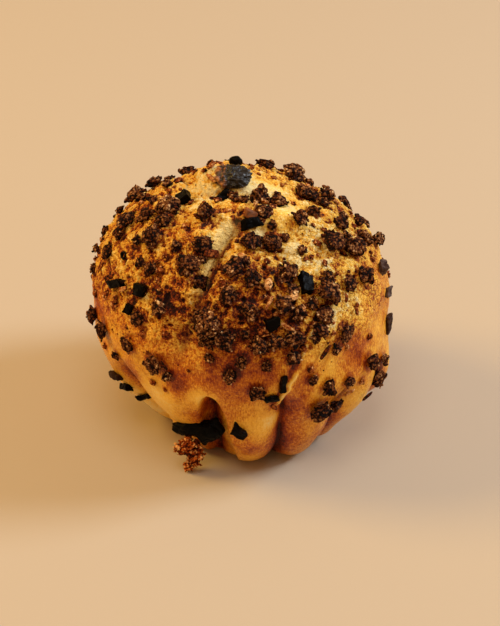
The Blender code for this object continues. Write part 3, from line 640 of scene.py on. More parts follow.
def crumb_material(name, stops, contrast):
    """Cocoa streusel crumb: flour, sugar and butter rubbed with cocoa and baked dry. It gives the eye a matt
    dark brown, made of grains with lighter tips and near-black gaps; the darkening towards each grain's edge and
    in the gaps is painted shade. Real grains are mostly under half a millimetre; they are drawn 0.75 mm wide, so
    that they show."""
    material, tree, shader = new_material(name, 0.85, 1.45, 0.15)
    where = add_node(tree, "ShaderNodeTexCoord").outputs["Object"]
    tone = add_node(tree, "ShaderNodeAttribute", attribute_name="tone").outputs["Fac"]
    bend = add_node(tree, "ShaderNodeTexNoise", {"Vector": where, "Scale": per_mm(0.7), "Detail": 1.0})
    bent = add_node(tree, "ShaderNodeMix", {0: 0.0006, 4: where, 5: bend.outputs["Color"]}, data_type="VECTOR")
    cells = add_node(tree, "ShaderNodeTexVoronoi", {
        "Vector": bent.outputs[1], "Scale": per_mm(0.75), "Randomness": 1.0})
    own = add_node(tree, "ShaderNodeSeparateColor", {0: cells.outputs["Color"]}).outputs[0]
    # painted shade: each grain darkens towards its cell's edge, to near black in the gaps
    painted_gap_shade = add_node(tree, "ShaderNodeMapRange", {
        "Value": cells.outputs["Distance"], "From Min": 0.38, "From Max": 0.72,
    }, interpolation_type="SMOOTHSTEP").outputs["Result"]
    patch = add_node(tree, "ShaderNodeTexNoise", {
        "Vector": where, "Scale": per_mm(1.6), "Detail": 3.0, "Roughness": 0.65}).outputs["Fac"]
    shade = add_centred(tree, own, 0.45 * contrast, tone)
    shade = add_centred(tree, patch, 1.8 * contrast, shade)
    shade, height = (
        add_node(tree, "ShaderNodeMath", {0: painted_gap_shade, 1: amount, 2: base}, operation="MULTIPLY_ADD").outputs[0]
        for amount, base in ((-0.62 * contrast, shade), (-0.8, patch))
    )
    colour = add_node(tree, "ShaderNodeValToRGB", {"Fac": shade}, stops).outputs["Color"]
    tree.links.new(colour, shader.inputs["Base Color"])
    bump = add_node(tree, "ShaderNodeBump", {"Height": height, "Strength": 1.0, "Distance": 0.34 * MM})
    tree.links.new(bump.outputs[0], shader.inputs["Normal"])
    return material


# Crumbs


def crumb_chance(turn, rise):
    """How likely the crust is to carry a crumb: thick on the dome, thin on the smooth band above the lobes."""
    dome = smooth_step((rise - CRUMB_LOWEST_RISE) / 34)
    bare = np.exp(-(((turn - 68) / 22) ** 2) - ((rise - 6) / 14) ** 2)
    crown = np.exp(-(((rise - 84) / 9) ** 2))
    return dome * (1 - 0.85 * bare) * (1 - 0.6 * crown)


def random_place(rng, lowest):
    """A random turn and rise, with all parts of the crust above the lowest rise as likely."""
    turn = rng.uniform(-180, 180)
    return turn, np.degrees(np.arcsin(rng.uniform(sin(radians(lowest)), 1)))


def crumb_places():
    """Turn, rise and width of the crumbs round the back, laid by the solid's rule: at random, kept apart."""
    rng = np.random.default_rng(SEED)
    taken = [(unit(t, r), w * MM / 2) for t, r, w in LUMPS + CRUMBS]
    taken += [(unit(t, r), length * MM / 2) for t, r, length, *_ in CHIPS]
    places = []
    while len(places) < CRUMB_COUNT:
        turn, rise = random_place(rng, CRUMB_LOWEST_RISE)
        chance = rng.uniform()
        share = len(places) / CRUMB_COUNT
        width = CRUMB_WIDTHS[0] + (CRUMB_WIDTHS[1] - CRUMB_WIDTHS[0]) * share**SHRINK
        d = unit(turn, rise)
        room = all(
            np.linalg.norm(d - other) * HALF_WIDTH > (half + width * MM / 2) * CLEARANCE
            for other, half in taken
        )
        if turned_away(turn, rise) and room and chance < crumb_chance(turn, rise):
            places.append((turn, rise, width))
            taken.append((d, width * MM / 2))
    return places


def turned_away(turn, rise):
    """True where the crust faces away from the side that the bun is best known from."""
    return float(unit(turn, rise) @ unit(0, BEST_SEEN_RISE)) < TURNED_AWAY


def random_turn(rng):
    """Any turn about any axis."""
    return Matrix.Rotation(rng.uniform(0, 2 * pi), 4, Vector(rng.normal(size=3)).normalized())


def craggy_lump(width, rng):
    """One crumb about its own middle, in millimetres: a core with broken bits stuck to it, and a tone for each
    corner with painted shade in it: dark in the crevices and towards the core, lighter on the tips and on top."""
    bm = ball(3, CORE_RADIUS * width)
    flat = rng.uniform(*CRUMB_FLATNESS)
    own = rng.uniform(0.36, 0.61)
    tones = [np.full(len(bm.verts), own)]
    for _ in range(int(FEWEST_BITS + BITS_PER_MM * width)):
        d = rng.normal(size=3)
        d[2] = abs(d[2]) - 0.25
        d /= np.linalg.norm(d)
        size = width * rng.uniform(*BIT_SIZES)
        at = d * (BIT_REACH * width - 0.5 * size)
        before = len(bm.verts)
        place = Matrix.Translation(at) @ random_turn(rng)
        sides = (size * rng.uniform(0.9, 1.3), size * rng.uniform(0.6, 1.0), size * rng.uniform(0.4, 0.8))
        bmesh.ops.create_icosphere(bm, subdivisions=3 if size > FINE_BIT else 2, radius=0.5,
                                   matrix=place @ Matrix.Diagonal((*sides, 1)))
        tones.append(np.full(len(bm.verts) - before, own + rng.uniform(-0.20, 0.24)))
    co = vertex_array(bm)
    shift = rng.uniform(0, 90, 3)
    warp = noise_vector(co / 0.8 + shift, 21, 31)
    slow = noise_vector(co / (0.4 * width) + shift, 25, 17)
    out = np.linalg.norm(co, axis=1) / (width / 2)
    co = co + 0.24 * warp + 0.14 * width * slow
    move_vertices(bm, co * [1, 1, flat])
    # painted shade: the tone darkens from the tips in towards the core, into the crevices
    tone = np.concatenate(tones) * (0.25 + 0.85 * smooth_step((out - 0.60) / 0.36)) + 0.15 * warp[:, 0]
    # painted light and shade: the crumb is drawn lighter on top and darker underneath
    return bm, tone * (0.6 + 0.45 * smooth_step(0.5 + 1.6 * co[:, 2] / width))


def grains(spots, rng):
    """Small faceted grains at (point, width in metres)."""
    bm = bmesh.new()
    for point, width in spots:
        place = Matrix.Translation(point) @ random_turn(rng)
        size = Matrix.Diagonal((width * rng.uniform(0.7, 1.4), width * rng.uniform(0.6, 1.1), width, 1))
        bmesh.ops.create_icosphere(bm, subdivisions=1, radius=0.5, matrix=place @ size)
    return bm


def sugared(turn, rise):
    """True for the crumbs near the middle of the front that are studded with pale sugar."""
    return abs(turn + 8) < 22 and -6 < rise < 24


def lay_crumbs(look, places, seed, studs):
    """The crumbs at these places in one pile, with the grains that stud them added to another."""
    rng = np.random.default_rng(seed)
    bodies = Pile()
    for (turn, rise, width), point, normal in zip(places, *seats(places)):
        bm, tone = craggy_lump(width, rng)
        place = seat(point, normal, width * MM * 0.72 * (0.5 - SINK), rng.uniform(0, 2 * pi))
        set_down(bm, place)
        bm.normal_update()
        bm.verts.ensure_lookup_table()
        share, light = (1.0, 0.85) if sugared(turn, rise) else (0.22, 0.35)
        spots = []
        for index in rng.integers(0, len(bm.verts), int(share * look.grains_per_mm2 * width * width * 2.2)):
            at, out = bm.verts[index].co, bm.verts[index].normal
            away = at - place.translation
            if out @ away > 0 and away.length > 0.3 * width * MM:
                spots.append((at.copy(), look.grain_width * rng.uniform(0.5, 1.6)))
        bodies.add(bm, tone)
        if spots:
            bm = grains(spots, rng)
            studs.add(bm, np.repeat(light * rng.uniform(0.05, 1.0, len(spots)) ** 1.5, GRAIN_CORNERS))
    return bodies


def lay_loose_crumbs(look):
    """Little crumbs and single grains scattered over the crust between the larger ones."""
    rng = np.random.default_rng(SEED + 3)
    pile = Pile()
    places = list(TINY_CRUMBS)
    while len(places) < look.loose_count:
        turn, rise = random_place(rng, LOOSE_LOWEST_RISE)
        if rng.uniform() < crumb_chance(turn, rise):
            places.append((turn, rise, 0.5 + 1.9 * rng.uniform() ** 2.6))
    for (*_, width), point, normal in zip(places, *seats(places)):
        place = seat(point, normal, 0.12 * width * MM, rng.uniform(0, 2 * pi))
        if width > 1.7:
            bm, tone = craggy_lump(width, rng)
            set_down(bm, place)
            pile.add(bm, tone * 1.2)
            continue
        bm = ball(2 if width > 0.9 else 1)
        co = vertex_array(bm)
        move_vertices(bm, co * (1 + rng.uniform(-0.3, 0.3, (len(co), 1))))
        set_down(bm, place, (width, width * rng.uniform(0.6, 1.1), width * rng.uniform(0.45, 0.85)))
        pile.add(bm, rng.uniform(0.25, 0.9))
    return pile


def lay_slivers(pile):
    """Splinters and flakes of crumb, broken off and baked on."""
    rng = np.random.default_rng(SEED + 7)
    for (*_, length, width, thick, spin, lean, tone), point, normal in zip(SLIVERS, *seats(SLIVERS)):
        bm = ball(3)
        co = vertex_array(bm)
        shift = rng.uniform(0, 90, 3)
        rough = noise_vector(co * 3.5 + shift, 71, 13)
        co = np.sign(co) * np.abs(co) ** 0.75 * 0.85 + 0.13 * rough
        co[:, 2] += 0.25 * np.sin(3 * co[:, 0] + shift[0])
        move_vertices(bm, co)
        place = seat(point, normal, 0.45 * width * MM + 0.6 * MM, radians(spin), radians(lean))
        set_down(bm, place, (length, width, thick))
        pile.add(bm, tone + 0.25 * rough[:, 0])


# Chocolate and the burnt flake


def chocolate_chips():
    """Chopped chocolate: skewed, broken blocks with worn edges and uneven faces."""
    rng = np.random.default_rng(SEED + 4)
    pile = Pile()
    for (*_, length, width, thick, spin, lean, tone), point, normal in zip(CHIPS, *seats(CHIPS)):
        bm = bmesh.new()
        bmesh.ops.create_cube(bm, size=1)
        for vert in bm.verts:
            vert.co *= rng.uniform(0.68, 1.06)
            vert.co.x += CHIP_SKEW * vert.co.z
        place = seat(point, normal, thick * MM * (0.5 - SINK), radians(spin), radians(lean))
        set_down(bm, place, (length, width, thick))
        bmesh.ops.bevel(bm, geom=bm.edges[:], offset=0.25 * MM, segments=2, profile=0.5, affect="EDGES",
                        material=-1)
        bmesh.ops.subdivide_edges(bm, edges=bm.edges[:], cuts=4, use_grid_fill=True)
        bmesh.ops.triangulate(bm, faces=bm.faces[:])
        bm.normal_update()
        co = vertex_array(bm)
        rough = 0.30 * layered_noise(co * per_mm(1.8), 41) + 0.10 * value_noise(co * per_mm(0.5), 44)
        push_out(bm, rough)
        pile.add(bm, tone + 0.25 * rough)
    return pile


def lay_rings(pile):
    """Curls of scorched chocolate, each a ring spun from a small circle and left uneven."""
    for (*_, width, thick, lean, tone), point, normal in zip(RINGS, *seats(RINGS)):
        bm = bmesh.new()
        side = Matrix.Translation(((width - thick) / 2, 0, 0)) @ Matrix.Rotation(pi / 2, 4, "X")
        bmesh.ops.create_circle(bm, segments=10, radius=thick / 2, matrix=side)
        bmesh.ops.spin(bm, geom=bm.verts[:] + bm.edges[:], axis=(0, 0, 1), cent=(0, 0, 0), angle=2 * pi,
                       steps=24, use_merge=True)
        bmesh.ops.recalc_face_normals(bm, faces=bm.faces[:])
        co = vertex_array(bm)
        rough = noise_vector(co / 0.9, 75, 7)
        move_vertices(bm, (co + 0.22 * rough) * [1.0, 0.8, 1.0])
        set_down(bm, seat(point, normal, 0.3 * width * MM * sin(radians(lean)), 0.0, radians(lean)))
        pile.add(bm, tone + 0.3 * rough[:, 0])


def blob(place, size, wrinkle, taper, bulges, skin):
    """A rounded piece whose broad form is the solid's, with the relief that skin gives it, and skin's tones."""
    bm = ball(6)
    co = vertex_array(bm)
    bulge = 1 + wrinkle * (value_noise(co * 5.0, 11) + 0.5 * value_noise(co * 11.0, 12))
    co = co * bulge[:, None]
    co[:, 1:] *= (1 + 2 * taper * co[:, :1])
    for side, along_it, spread, amount in bulges:
        co[:, 2] *= 1 + (side * co[:, 2] > 0) * amount * np.exp(-(((co[:, 0] - along_it) / spread) ** 2))
    move_vertices(bm, co)
    bmesh.ops.transform(bm, matrix=Matrix.Diagonal((*size, 1)), verts=bm.verts)
    bm.normal_update()
    relief, tone = skin(vertex_array(bm))
    push_out(bm, relief)
    bmesh.ops.transform(bm, matrix=place, verts=bm.verts)
    return bm, tone


def crown_chip():
    """The big chip baked into the crown, its skin drawn into fine wrinkles as it cooled."""
    middle = Vector(crust_point(unit(CROWN_CHIP_TURN, CROWN_CHIP_RISE)))
    middle.z += 0.1 * CROWN_CHIP_SIZE[2]
    place = Matrix.Translation(middle) @ Matrix.Rotation(radians(CROWN_CHIP_LEAN), 4, "X")

    def skin(p):
        """Wrinkles on the chip's bare right, their crests drawn lighter as a painted highlight, and cocoa crumb
        baked onto its left behind a ragged border.
        """
        border = p[:, 0] + 1.8 * MM + 1.6 * MM * layered_noise(p * per_mm(2.2), 57)
        crumbed = smooth_step(0.5 - border / (1.2 * MM))
        bent = p + 0.8 * MM * value_noise(p * per_mm(3.0), 51)[:, None]
        drawn = 0.34 * ridges(bent * per_mm(1.3) * [1.0, 2.2, 1.0], 52) - 0.15
        drawn = drawn + 0.14 * value_noise(p * per_mm(0.7), 53)
        relief = drawn + crumbed * (0.65 * layered_noise(p * per_mm(1.0), 54) - drawn)
        # painted highlight: the tone rises with the relief, so the wrinkles' crests are lighter
        return relief, 0.12 + 0.8 * relief + crumbed * (0.44 + 0.3 * value_noise(p * per_mm(0.8), 58))

    return blob(place, CROWN_CHIP_SIZE, 0.16, 0, (), skin)


def melted_chocolate():
    """Chocolate that ran out under the hollow and set in rounded bulges, black all over."""
    place = Matrix.Translation(MELT_MIDDLE) @ Matrix.Rotation(radians(MELT_TURN), 4, "Z")
    place = place @ Matrix.Rotation(radians(MELT_ROLL), 4, "Y")

    def skin(p):
        relief = 0.16 * value_noise(p * per_mm(2.6), 55) + 0.12 * value_noise(p * per_mm(0.9), 56)
        return relief, np.zeros(len(p))

    return blob(place, MELT_SIZE, 0.10, MELT_TAPER, MELT_BULGES, skin)


def hanging_flake():
    """The craggy burnt scrap that hangs from the melted chocolate: thin crinkled shards stuck every way to a core
    that swings aside to a ragged tip."""
    rng = np.random.default_rng(SEED + 6)
    pile = Pile()
    bm = ball(5)
    co = vertex_array(bm)
    bulge = 1 + FLAKE_CRAG * (value_noise(co * 3.6, 14) + 0.5 * value_noise(co * 8.0, 15))
    level = co[:, :2] / np.maximum(np.linalg.norm(co[:, :2], axis=1, keepdims=True), 1e-6)
    passed, middle, width = np.array(FLAKE_COURSE).T
    down = 0.5 - co[:, 2]
    end = np.sqrt(np.clip(1 - (2 * co[:, 2]) ** FLAKE_BLUNTNESS, 0, 1))
    half = np.interp(down, passed, width) / 2 * MM * end
    x = np.interp(down, passed, middle) * MM + level[:, 0] * half * bulge
    y = level[:, 1] * np.minimum(half, FLAKE_THICKNESS / 2) * bulge
    co = np.stack([x, y, co[:, 2] * FLAKE_HEIGHT], -1) + FLAKE_MIDDLE
    move_vertices(bm, co)
    bm.normal_update()
    crag = 0.45 * layered_noise(co * per_mm(1.3), 18)
    push_out(bm, crag - 0.25)
    roots = [(v.co.copy(), v.normal.copy()) for v in bm.verts]
    pile.add(bm, 0.28 + 0.5 * crag)
    for index in rng.integers(0, len(roots), SHARD_COUNT):
        at, out = roots[index]
        shard = ball(2)
        points = vertex_array(shard)
        points *= 1 + rng.uniform(-0.25, 0.25, (len(points), 1))
        points[:, 2] += 0.5 * np.sin(points[:, 0] * 6 + rng.uniform(0, 6))
        length = rng.uniform(1.0, 2.6)
        move_vertices(shard, points * [length, length * rng.uniform(0.3, 0.8), 0.36])
        lean = (out + Vector(rng.normal(size=3)) * 0.7).normalized().to_track_quat("X", "Z")
        turned = lean.to_matrix().to_4x4() @ Matrix.Rotation(rng.uniform(0, 2 * pi), 4, "X")
        set_down(shard, Matrix.Translation(at) @ turned)
        for vert in shard.verts:
            vert.co.z = max(vert.co.z, 0.15 * MM)
        pile.add(shard, rng.uniform(0.3, 1.05))
    return pile


# The crust


# How browned the crust is beyond its gold: turn, rise, spread, amount from pale (below 0) to dark (above 0).
# Some spots are painted shade and painted light rather than browning: the painted shadow under the overhang at
# the top of the front seam (-5, 64), the painted light on the ledge beneath the crown's chips (14, 58), and
# painted shade and light on the front lobes, darker on their shaded sides and paler where they face the light.
BROWNING_AND_SHADE = (
    (80, 78, 12, -0.42), (20, 84, 8, -0.34), (-62, 75, 9, -0.42), (-120, 68, 12, -0.36), (57, 48, 15, -0.36),
    (46, 33, 9, -0.34), (25, 42, 9, -0.28), (50, 16, 6, -0.34), (36, 14, 6, -0.24), (-32, 44, 8, 0.08),
    (-12, 54, 8, -0.26), (20, 60, 7, -0.16), (62, 62, 9, -0.14), (2, 10, 18, 0.11), (-14, 22, 12, 0.10),
    (14, 24, 13, 0.10), (-42, 6, 11, 0.10), (-80, 25, 24, 0.06), (75, 12, 16, 0.05), (-4, -8, 13, 0.10),
    (-16, -13, 5, -0.36), (12, -26, 8, -0.16), (33, -7, 6, -0.06), (-38, -22, 10, -0.32), (30, -32, 8, 0.04),
    (-47, -14, 5, 0.26), (-2, -38, 8, 0.04), (85, 0, 16, 0.10), (14, 58, 4, -0.44), (-94, 72, 7, -0.14),
    (37, 45, 6, -0.15), (-75, 6, 12, 0.22), (-34, 24, 8, 0.16), (-44, 18, 6, 0.10), (24, -7, 5, 0.22),
    (46, -28, 7, -0.24), (-66, -45, 9, -0.20), (-68, -32, 8, -0.10), (-5, 64, 3, 0.50), (0, -13, 4, 0.12),
    (-1, -25, 3, 0.05), (12, -27, 4, -0.34), (23, -15, 4, 0.14), (32, -41, 8, 0.10), (-20, -6, 8, 0.05),
    (-4, 2, 9, 0.14), (11, -1, 6, 0.14), (-14, -6, 6, 0.10), (-25, -9, 6, 0.27), (-28, -1, 5, 0.10),
    (50, -6, 8, 0.29), (43, 3, 6, 0.20), (23, -22, 5, 0.12), (-32, 28, 7, 0.16), (-25, 31, 4, 0.14),
    (3, -38, 4, 0.17), (-60, -50, 9, -0.28), (-67, -34, 6, -0.12), (30, 8, 6, -0.06), (-50, -46, 8, -0.12),
    (-61, -36, 6, -0.10), (-5, 19, 4, 0.22), (5, 31, 4, 0.12), (-8, 29, 4, 0.14), (8, 21, 4, 0.14),
    (-58, -50, 6, -0.16), (-18, -35, 5, -0.16), (39, 22, 5, -0.16),
)
# The ragged pale edge where the skin tore beside the front lobe: turn, rise.
TEAR = ((41, 21), (30, 16), (25, 11), (23, 5), (21, -1), (18, -7), (15, -14), (14, -20))
# Where the skin is smooth among the crags: turn, rise, spread.
SMOOTH_PATCHES = ((62, 62, 10), (80, 78, 12), (20, 60, 6), (75, 8, 18))
# Where the pale skin is crackled: turn, rise, spread.
CRACKLED_PATCHES = ((57, 46, 13), (46, 32, 10), (27, 42, 9), (50, 16, 8), (66, 14, 10), (-30, 44, 7))


def torn_seam(d):
    """Millimetres off the pale dough's middle, positive on the left as the bun is best seen, half its width, how
    far inside the front seam's ends it is, from 0 to 1, and how much of the pale dough is there, from 0 to 1."""
    off, passed = along_course(d, FRONT_SEAM)
    share = passed / (len(FRONT_SEAM) - 1)
    half, shift = (top + (foot - top) * share for top, foot in (SEAM_HALF_WIDTHS, SEAM_SHIFTS))
    off = off - shift
    inside = along(passed, FRONT_SEAM, 2.0, 0.2)
    return off, half, inside, inside * np.exp(-((off / half) ** 4))


def torn_edge(d, p):
    """How much of the ragged tear is there, from 0 to 1, and how much of the dark line beside it, a painted
    shadow of the tear's raised edge.
    """
    off, passed = along_course(d, TEAR)
    inside = along(passed, TEAR, 1.5, 0.1)
    off = off + 0.9 * value_noise(p * per_mm(2.2), 75)
    broken = smooth_step(0.62 + 1.3 * value_noise(p * per_mm(1.6), 76))
    return inside * broken * np.exp(-((off / 0.75) ** 2)), inside * np.exp(-(((off - 1.5) / 0.8) ** 2))


def crust_relief(d, p):
    """Fine relief of the crust in millimetres, and how craggy it is there from 0 to 1."""
    craggy = smooth_step((angles(d)[1] + 4 + 5 * value_noise(d * 5, 61)) / 24)
    for turn, rise, spread in SMOOTH_PATCHES:
        craggy = craggy * (1 - 0.75 * swell(d, turn, rise, spread))
    q = p / MM
    bent = q + 0.9 * noise_vector(q / 3.1, 62)
    folds = ridges(bent / FOLDS, 63) - 0.4
    wrinkles = ridges(bent / WRINKLES, 64) - 0.4
    near, number = nearest_spot(bent / CUPS, 65)
    cups = (0.2 + 1.1 * number) * (np.clip((near - 0.10) / 0.42, 0, 1) - 0.8)
    lumps = layered_noise(bent / SOFT_LUMPS, 66)
    height = craggy * (0.50 * folds + 0.30 * wrinkles + 0.85 * cups + 0.45 * lumps)
    pale, dark = torn_edge(d, p)
    height = height + 0.55 * pale - 0.40 * dark
    off, half, _, dough = torn_seam(d)
    strands = value_noise(bent * [1.6, 1.6, 0.6], 70)
    drawn_up = SEAM_LIFT * smooth_step(0.8 + off / (2 * half))
    height = height * (1 - 0.6 * dough) + dough * (drawn_up + 0.25 * strands)
    streaks = value_noise(bent * [0.9, 0.9, 0.35], 69)
    return height + (1 - craggy) * (0.09 * lumps + 0.06 * streaks), craggy


def crust_marks(d, p, craggy, height, crumb_spots):
    """The crust's colour marks: toast with painted shade and painted light (0 straw to 1 dark), cream on the torn
    dough of the front seam, painted shade along the seam's wall and in the dimple, and where the pale skin is
    crackled."""
    turn, rise = angles(d)
    toast = 0.45 - 0.03 * craggy
    for place_turn, place_rise, spread, amount in BROWNING_AND_SHADE:
        toast += amount * swell(d, place_turn, place_rise, spread)
    # painted light and shade: the craggy crust's raised parts are drawn paler and its hollows darker
    toast -= np.where(height > 0, 0.40, 0.62) * height * craggy
    # painted shade: the crust is drawn darker down in the flutes' grooves
    toast += 0.50 * np.clip(flute_depth(turn, rise) / (4 * MM), 0, 1)
    # painted light: the right half of the hollow's inside is drawn paler, against the shade there
    toast -= 0.16 * hollow_share(turn, rise) * (turn > HOLLOW_TURN - 0.5)
    off, half, inside, cream = torn_seam(d)
    # painted shade: the wall beside the torn dough is drawn darker, where its raised edge shades it
    wall = inside * np.exp(-(((off + half + 1.1) / 1.1) ** 2))
    pale, dark = torn_edge(d, p)
    # painted shade: the dark line beside the tear is drawn darker
    toast += 0.46 * wall + 0.26 * dark - 0.46 * pale
    off, passed = along_course(d, DIMPLE)
    # painted shade along the seam's wall and in the dimple's groove
    stain = np.clip(0.35 * wall + 0.5 * along(passed, DIMPLE) * np.exp(-((off / 1.4) ** 2)), 0, 1)
    # a darker ring round each crumb: partly cocoa fat soaked into the crust, partly painted shadow of the crumb
    soak_and_shadow = np.zeros(len(d))
    for spot, reach in crumb_spots:
        away = np.linalg.norm(d - spot, axis=-1) * HALF_WIDTH / MM
        soak_and_shadow = np.maximum(soak_and_shadow, np.exp(-((np.maximum(away - reach, 0) / SOAK_AND_SHADOW_WIDTH) ** 2)))
    toast += 0.14 * soak_and_shadow
    crackled = np.max([swell(d, *patch) for patch in CRACKLED_PATCHES], axis=0)
    return {"toast": toast, "cream": cream, "stain": stain, "craggy": craggy, "crackled": crackled}


def crust(look):
    """The bun's skin: a cube's grid blown up to the crust, closer set at the front, with its fine relief."""
    bm = bmesh.new()
    bmesh.ops.create_cube(bm, size=2)
    bmesh.ops.subdivide_edges(bm, edges=bm.edges[:], cuts=look.mesh_cuts, use_grid_fill=True)
    d = np.tan(vertex_array(bm) * pi / 4)
    for nudge in (0.0, CLOSER):
        d = d + nudge * unit(0, CAMERA_ELEVATION)
        d /= np.linalg.norm(d, axis=1, keepdims=True)
    p = crust_point(d)
    move_vertices(bm, p)
    bm.normal_update()
    height, craggy = crust_relief(d, p)
    out = p + vertex_normals(bm) * (height * look.relief)[:, None]
    out[:, 2] = np.maximum(out[:, 2], 0.0)
    move_vertices(bm, out)
    spots = [(unit(t, r), w / 2) for t, r, w in (*LUMPS, *CRUMBS, *TINY_CRUMBS, *crumb_places())]
    bmesh.ops.recalc_face_normals(bm, faces=bm.faces)
    return bm, crust_marks(d, p, craggy, height, spots)


# What a user may change


class DoughLook(bpy.types.PropertyGroup):
    mesh_cuts: IntProperty(
        name="Mesh cuts", description="Cuts along each edge of the cube that becomes the crust", default=123)
    relief: FloatProperty(
        name="Relief", description="Height of one step of the crust's fine relief", default=1.0 * MM,
        unit="LENGTH", subtype="DISTANCE")


class CrumbLook(bpy.types.PropertyGroup):
    grain_width: FloatProperty(
        name="Grain width", description="Typical width of a grain on a crumb", default=0.55 * MM,
        unit="LENGTH", subtype="DISTANCE")
    grains_per_mm2: FloatProperty(
        name="Grains", description="Grains for each square millimetre of a crumb", default=1.0)
    loose_count: IntProperty(
        name="Loose crumbs", description="Little crumbs between the large ones", default=560)


class StageLook(bpy.types.PropertyGroup):
    floor_colour: FloatVectorProperty(
        name="Floor", description="Colour of the floor", default=linear("#B8AC99")[:3], size=3, subtype="COLOR")
    key_power: FloatProperty(
        name="Key light", description="Power of the light from the right", default=13.2, unit="POWER",
        subtype="POWER")
    warm_power: FloatProperty(
        name="Warm light", description="Power of the light from the left", default=8.6, unit="POWER",
        subtype="POWER")
    fill_power: FloatProperty(
        name="Fill light", description="Power of the light from above", default=8.8, unit="POWER",
        subtype="POWER")
    sky: FloatProperty(name="Ambient", description="Strength of the light from all round", default=0.52)


# Operators and panel


class BRIOCHE_OT_crust(bpy.types.Operator):
    """Builds the browned, crackled crust"""

    bl_idname = "brioche.crust"
    bl_label = "Crust"

    def execute(self, context):
        bm, marks = crust(context.scene.brioche_dough)
        new_piece("dough_crust", bm, crust_material(), "brioche", marks)
        return {"FINISHED"}


class BRIOCHE_OT_crumbs(bpy.types.Operator):
    """Lays the cocoa crumbs with their grains, and the loose ones between them"""

    bl_idname = "brioche.crumbs"
    bl_label = "Cocoa crumbs"

    def execute(self, context):
        look = context.scene.brioche_crumbs
        cocoa = crumb_material("cocoa streusel", CRUMB_STOPS, 0.8)
        dusty = crumb_material("cocoa streusel grain", GRAIN_STOPS, 0.3)
        studs = Pile()
        large = lay_crumbs(look, LUMPS, SEED + 2, studs)
        small = lay_crumbs(look, (*CRUMBS, *crumb_places()), SEED + 5, studs)
        large.finish("cocoa_lumps", cocoa, "brioche", "burnt_crumb")
        small.finish("cocoa_crumbs", cocoa, "brioche", "burnt_crumb")
        studs.finish("crumb_grains", dusty, "brioche", "burnt_crumb", smooth=False)
        toasted = crumb_material("toasted crumb", LOOSE_STOPS, 0.5)
        loose = lay_loose_crumbs(look)
        lay_slivers(loose)
        loose.finish("loose_crumbs", toasted, "brioche", "burnt_crumb")
        return {"FINISHED"}


class BRIOCHE_OT_chocolate(bpy.types.Operator):
    """Sets the chopped chocolate, the crown's big chip and the chocolate that ran"""

    bl_idname = "brioche.chocolate"
    bl_label = "Chocolate"

    def execute(self, context):
        dark = chocolate_material("dark chocolate, baked", CHIP_STOPS, 0.45, 0.06)
        bloomed_and_highlit = chocolate_material("dark chocolate, bloomed", BLOOM_AND_HIGHLIGHT_STOPS, 0.38, 0.4)
        chips = chocolate_chips()
        lay_rings(chips)
        chips.finish("chocolate_chips", dark, "brioche", "chocolate", smooth=False)
        bm, tone = crown_chip()
        new_piece("crown_chocolate", bm, bloomed_and_highlit, "crown_chip", {"tone": tone})
        bm, tone = melted_chocolate()
        new_piece("melted_run", bm, dark, "melted_chocolate", {"tone": tone})
        return {"FINISHED"}


class BRIOCHE_OT_flake(bpy.types.Operator):
    """Hangs the burnt flake"""

    bl_idname = "brioche.flake"
    bl_label = "Hanging flake"

    def execute(self, context):
        burnt = crumb_material("scorched sugar flake", FLAKE_STOPS, 0.5)
        hanging_flake().finish("scorched_flake", burnt, "hanging_flake", "burnt_crumb")
        return {"FINISHED"}


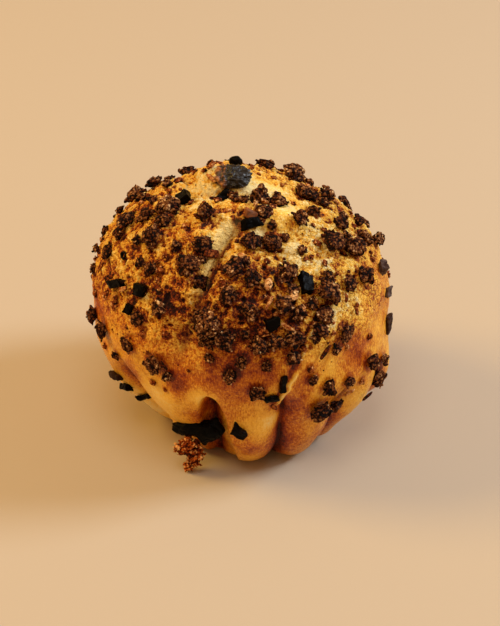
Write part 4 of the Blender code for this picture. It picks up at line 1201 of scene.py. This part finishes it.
class BRIOCHE_OT_stage(bpy.types.Operator):
    """Sets up the pale floor, the three soft lights and the camera"""

    bl_idname = "brioche.stage"
    bl_label = "Stage"

    def execute(self, context):
        look = context.scene.brioche_stage
        scene = context.scene
        bm = bmesh.new()
        bmesh.ops.create_grid(bm, x_segments=1, y_segments=1, size=FLOOR_HALF_WIDTH)
        mesh = bpy.data.meshes.new("floor")
        bm.to_mesh(mesh)
        bm.free()
        material, _, shader = new_material("matt painted board", 0.9, 1.45, 0.15)
        shader.inputs["Base Color"].default_value = (*look.floor_colour, 1)
        mesh.materials.append(material)
        floor = bpy.data.objects.new("floor", mesh)
        scene.collection.objects.link(floor)
        world = bpy.data.worlds.new("soft room")
        world.use_nodes = True
        background = world.node_tree.nodes["Background"]
        background.inputs["Color"].default_value = linear(ROOM_COLOUR)
        background.inputs["Strength"].default_value = look.sky
        scene.world = world
        for name, place, width, colour in LIGHTS:
            light = bpy.data.lights.new(name, "AREA")
            light.shape = "DISK"
            light.size = width
            light.energy = getattr(look, name + "_power")
            light.color = linear(colour)[:3]
            lamp = bpy.data.objects.new(name, light)
            lamp.location = place
            lamp.rotation_euler = (Vector(LIT_POINT) - lamp.location).to_track_quat("-Z", "Y").to_euler()
            scene.collection.objects.link(lamp)
        camera = bpy.data.cameras.new("camera")
        camera.sensor_fit = "VERTICAL"
        camera.sensor_height = 36
        camera.lens = CAMERA_LENS
        camera.clip_start = 0.01
        view = bpy.data.objects.new("camera", camera)
        e = radians(CAMERA_ELEVATION)
        back = Vector((0, -cos(e), sin(e)))
        view.location = Vector(CAMERA_TARGET) + back * CAMERA_DISTANCE
        view.rotation_euler = back.to_track_quat("Z", "Y").to_euler()
        scene.collection.objects.link(view)
        scene.camera = view
        scene.view_settings.view_transform = "Standard"
        return {"FINISHED"}


class BRIOCHE_PT_panel(bpy.types.Panel):
    bl_idname = "BRIOCHE_PT_panel"
    bl_label = "Chocolate chip brioche"
    bl_space_type = "VIEW_3D"
    bl_region_type = "UI"
    bl_category = "Brioche"

    def draw(self, context):
        scene = context.scene
        for group in (scene.brioche_dough, scene.brioche_crumbs, scene.brioche_stage):
            for key in group.__annotations__:
                self.layout.prop(group, key)
        for operator in OPERATORS:
            self.layout.operator(operator.bl_idname)


GROUPS = {"brioche_dough": DoughLook, "brioche_crumbs": CrumbLook, "brioche_stage": StageLook}
OPERATORS = (BRIOCHE_OT_crust, BRIOCHE_OT_crumbs, BRIOCHE_OT_chocolate, BRIOCHE_OT_flake, BRIOCHE_OT_stage)
CLASSES = (*GROUPS.values(), *OPERATORS, BRIOCHE_PT_panel)


def register():
    for cls in CLASSES:
        bpy.utils.register_class(cls)
    for name, group in GROUPS.items():
        setattr(bpy.types.Scene, name, PointerProperty(type=group))


def unregister():
    for name in GROUPS:
        delattr(bpy.types.Scene, name)
    for cls in reversed(CLASSES):
        bpy.utils.unregister_class(cls)


def main():
    register()
    bpy.ops.brioche.crust()
    bpy.ops.brioche.crumbs()
    bpy.ops.brioche.chocolate()
    bpy.ops.brioche.flake()
    bpy.ops.brioche.stage()


if __name__ == "__main__":
    main()
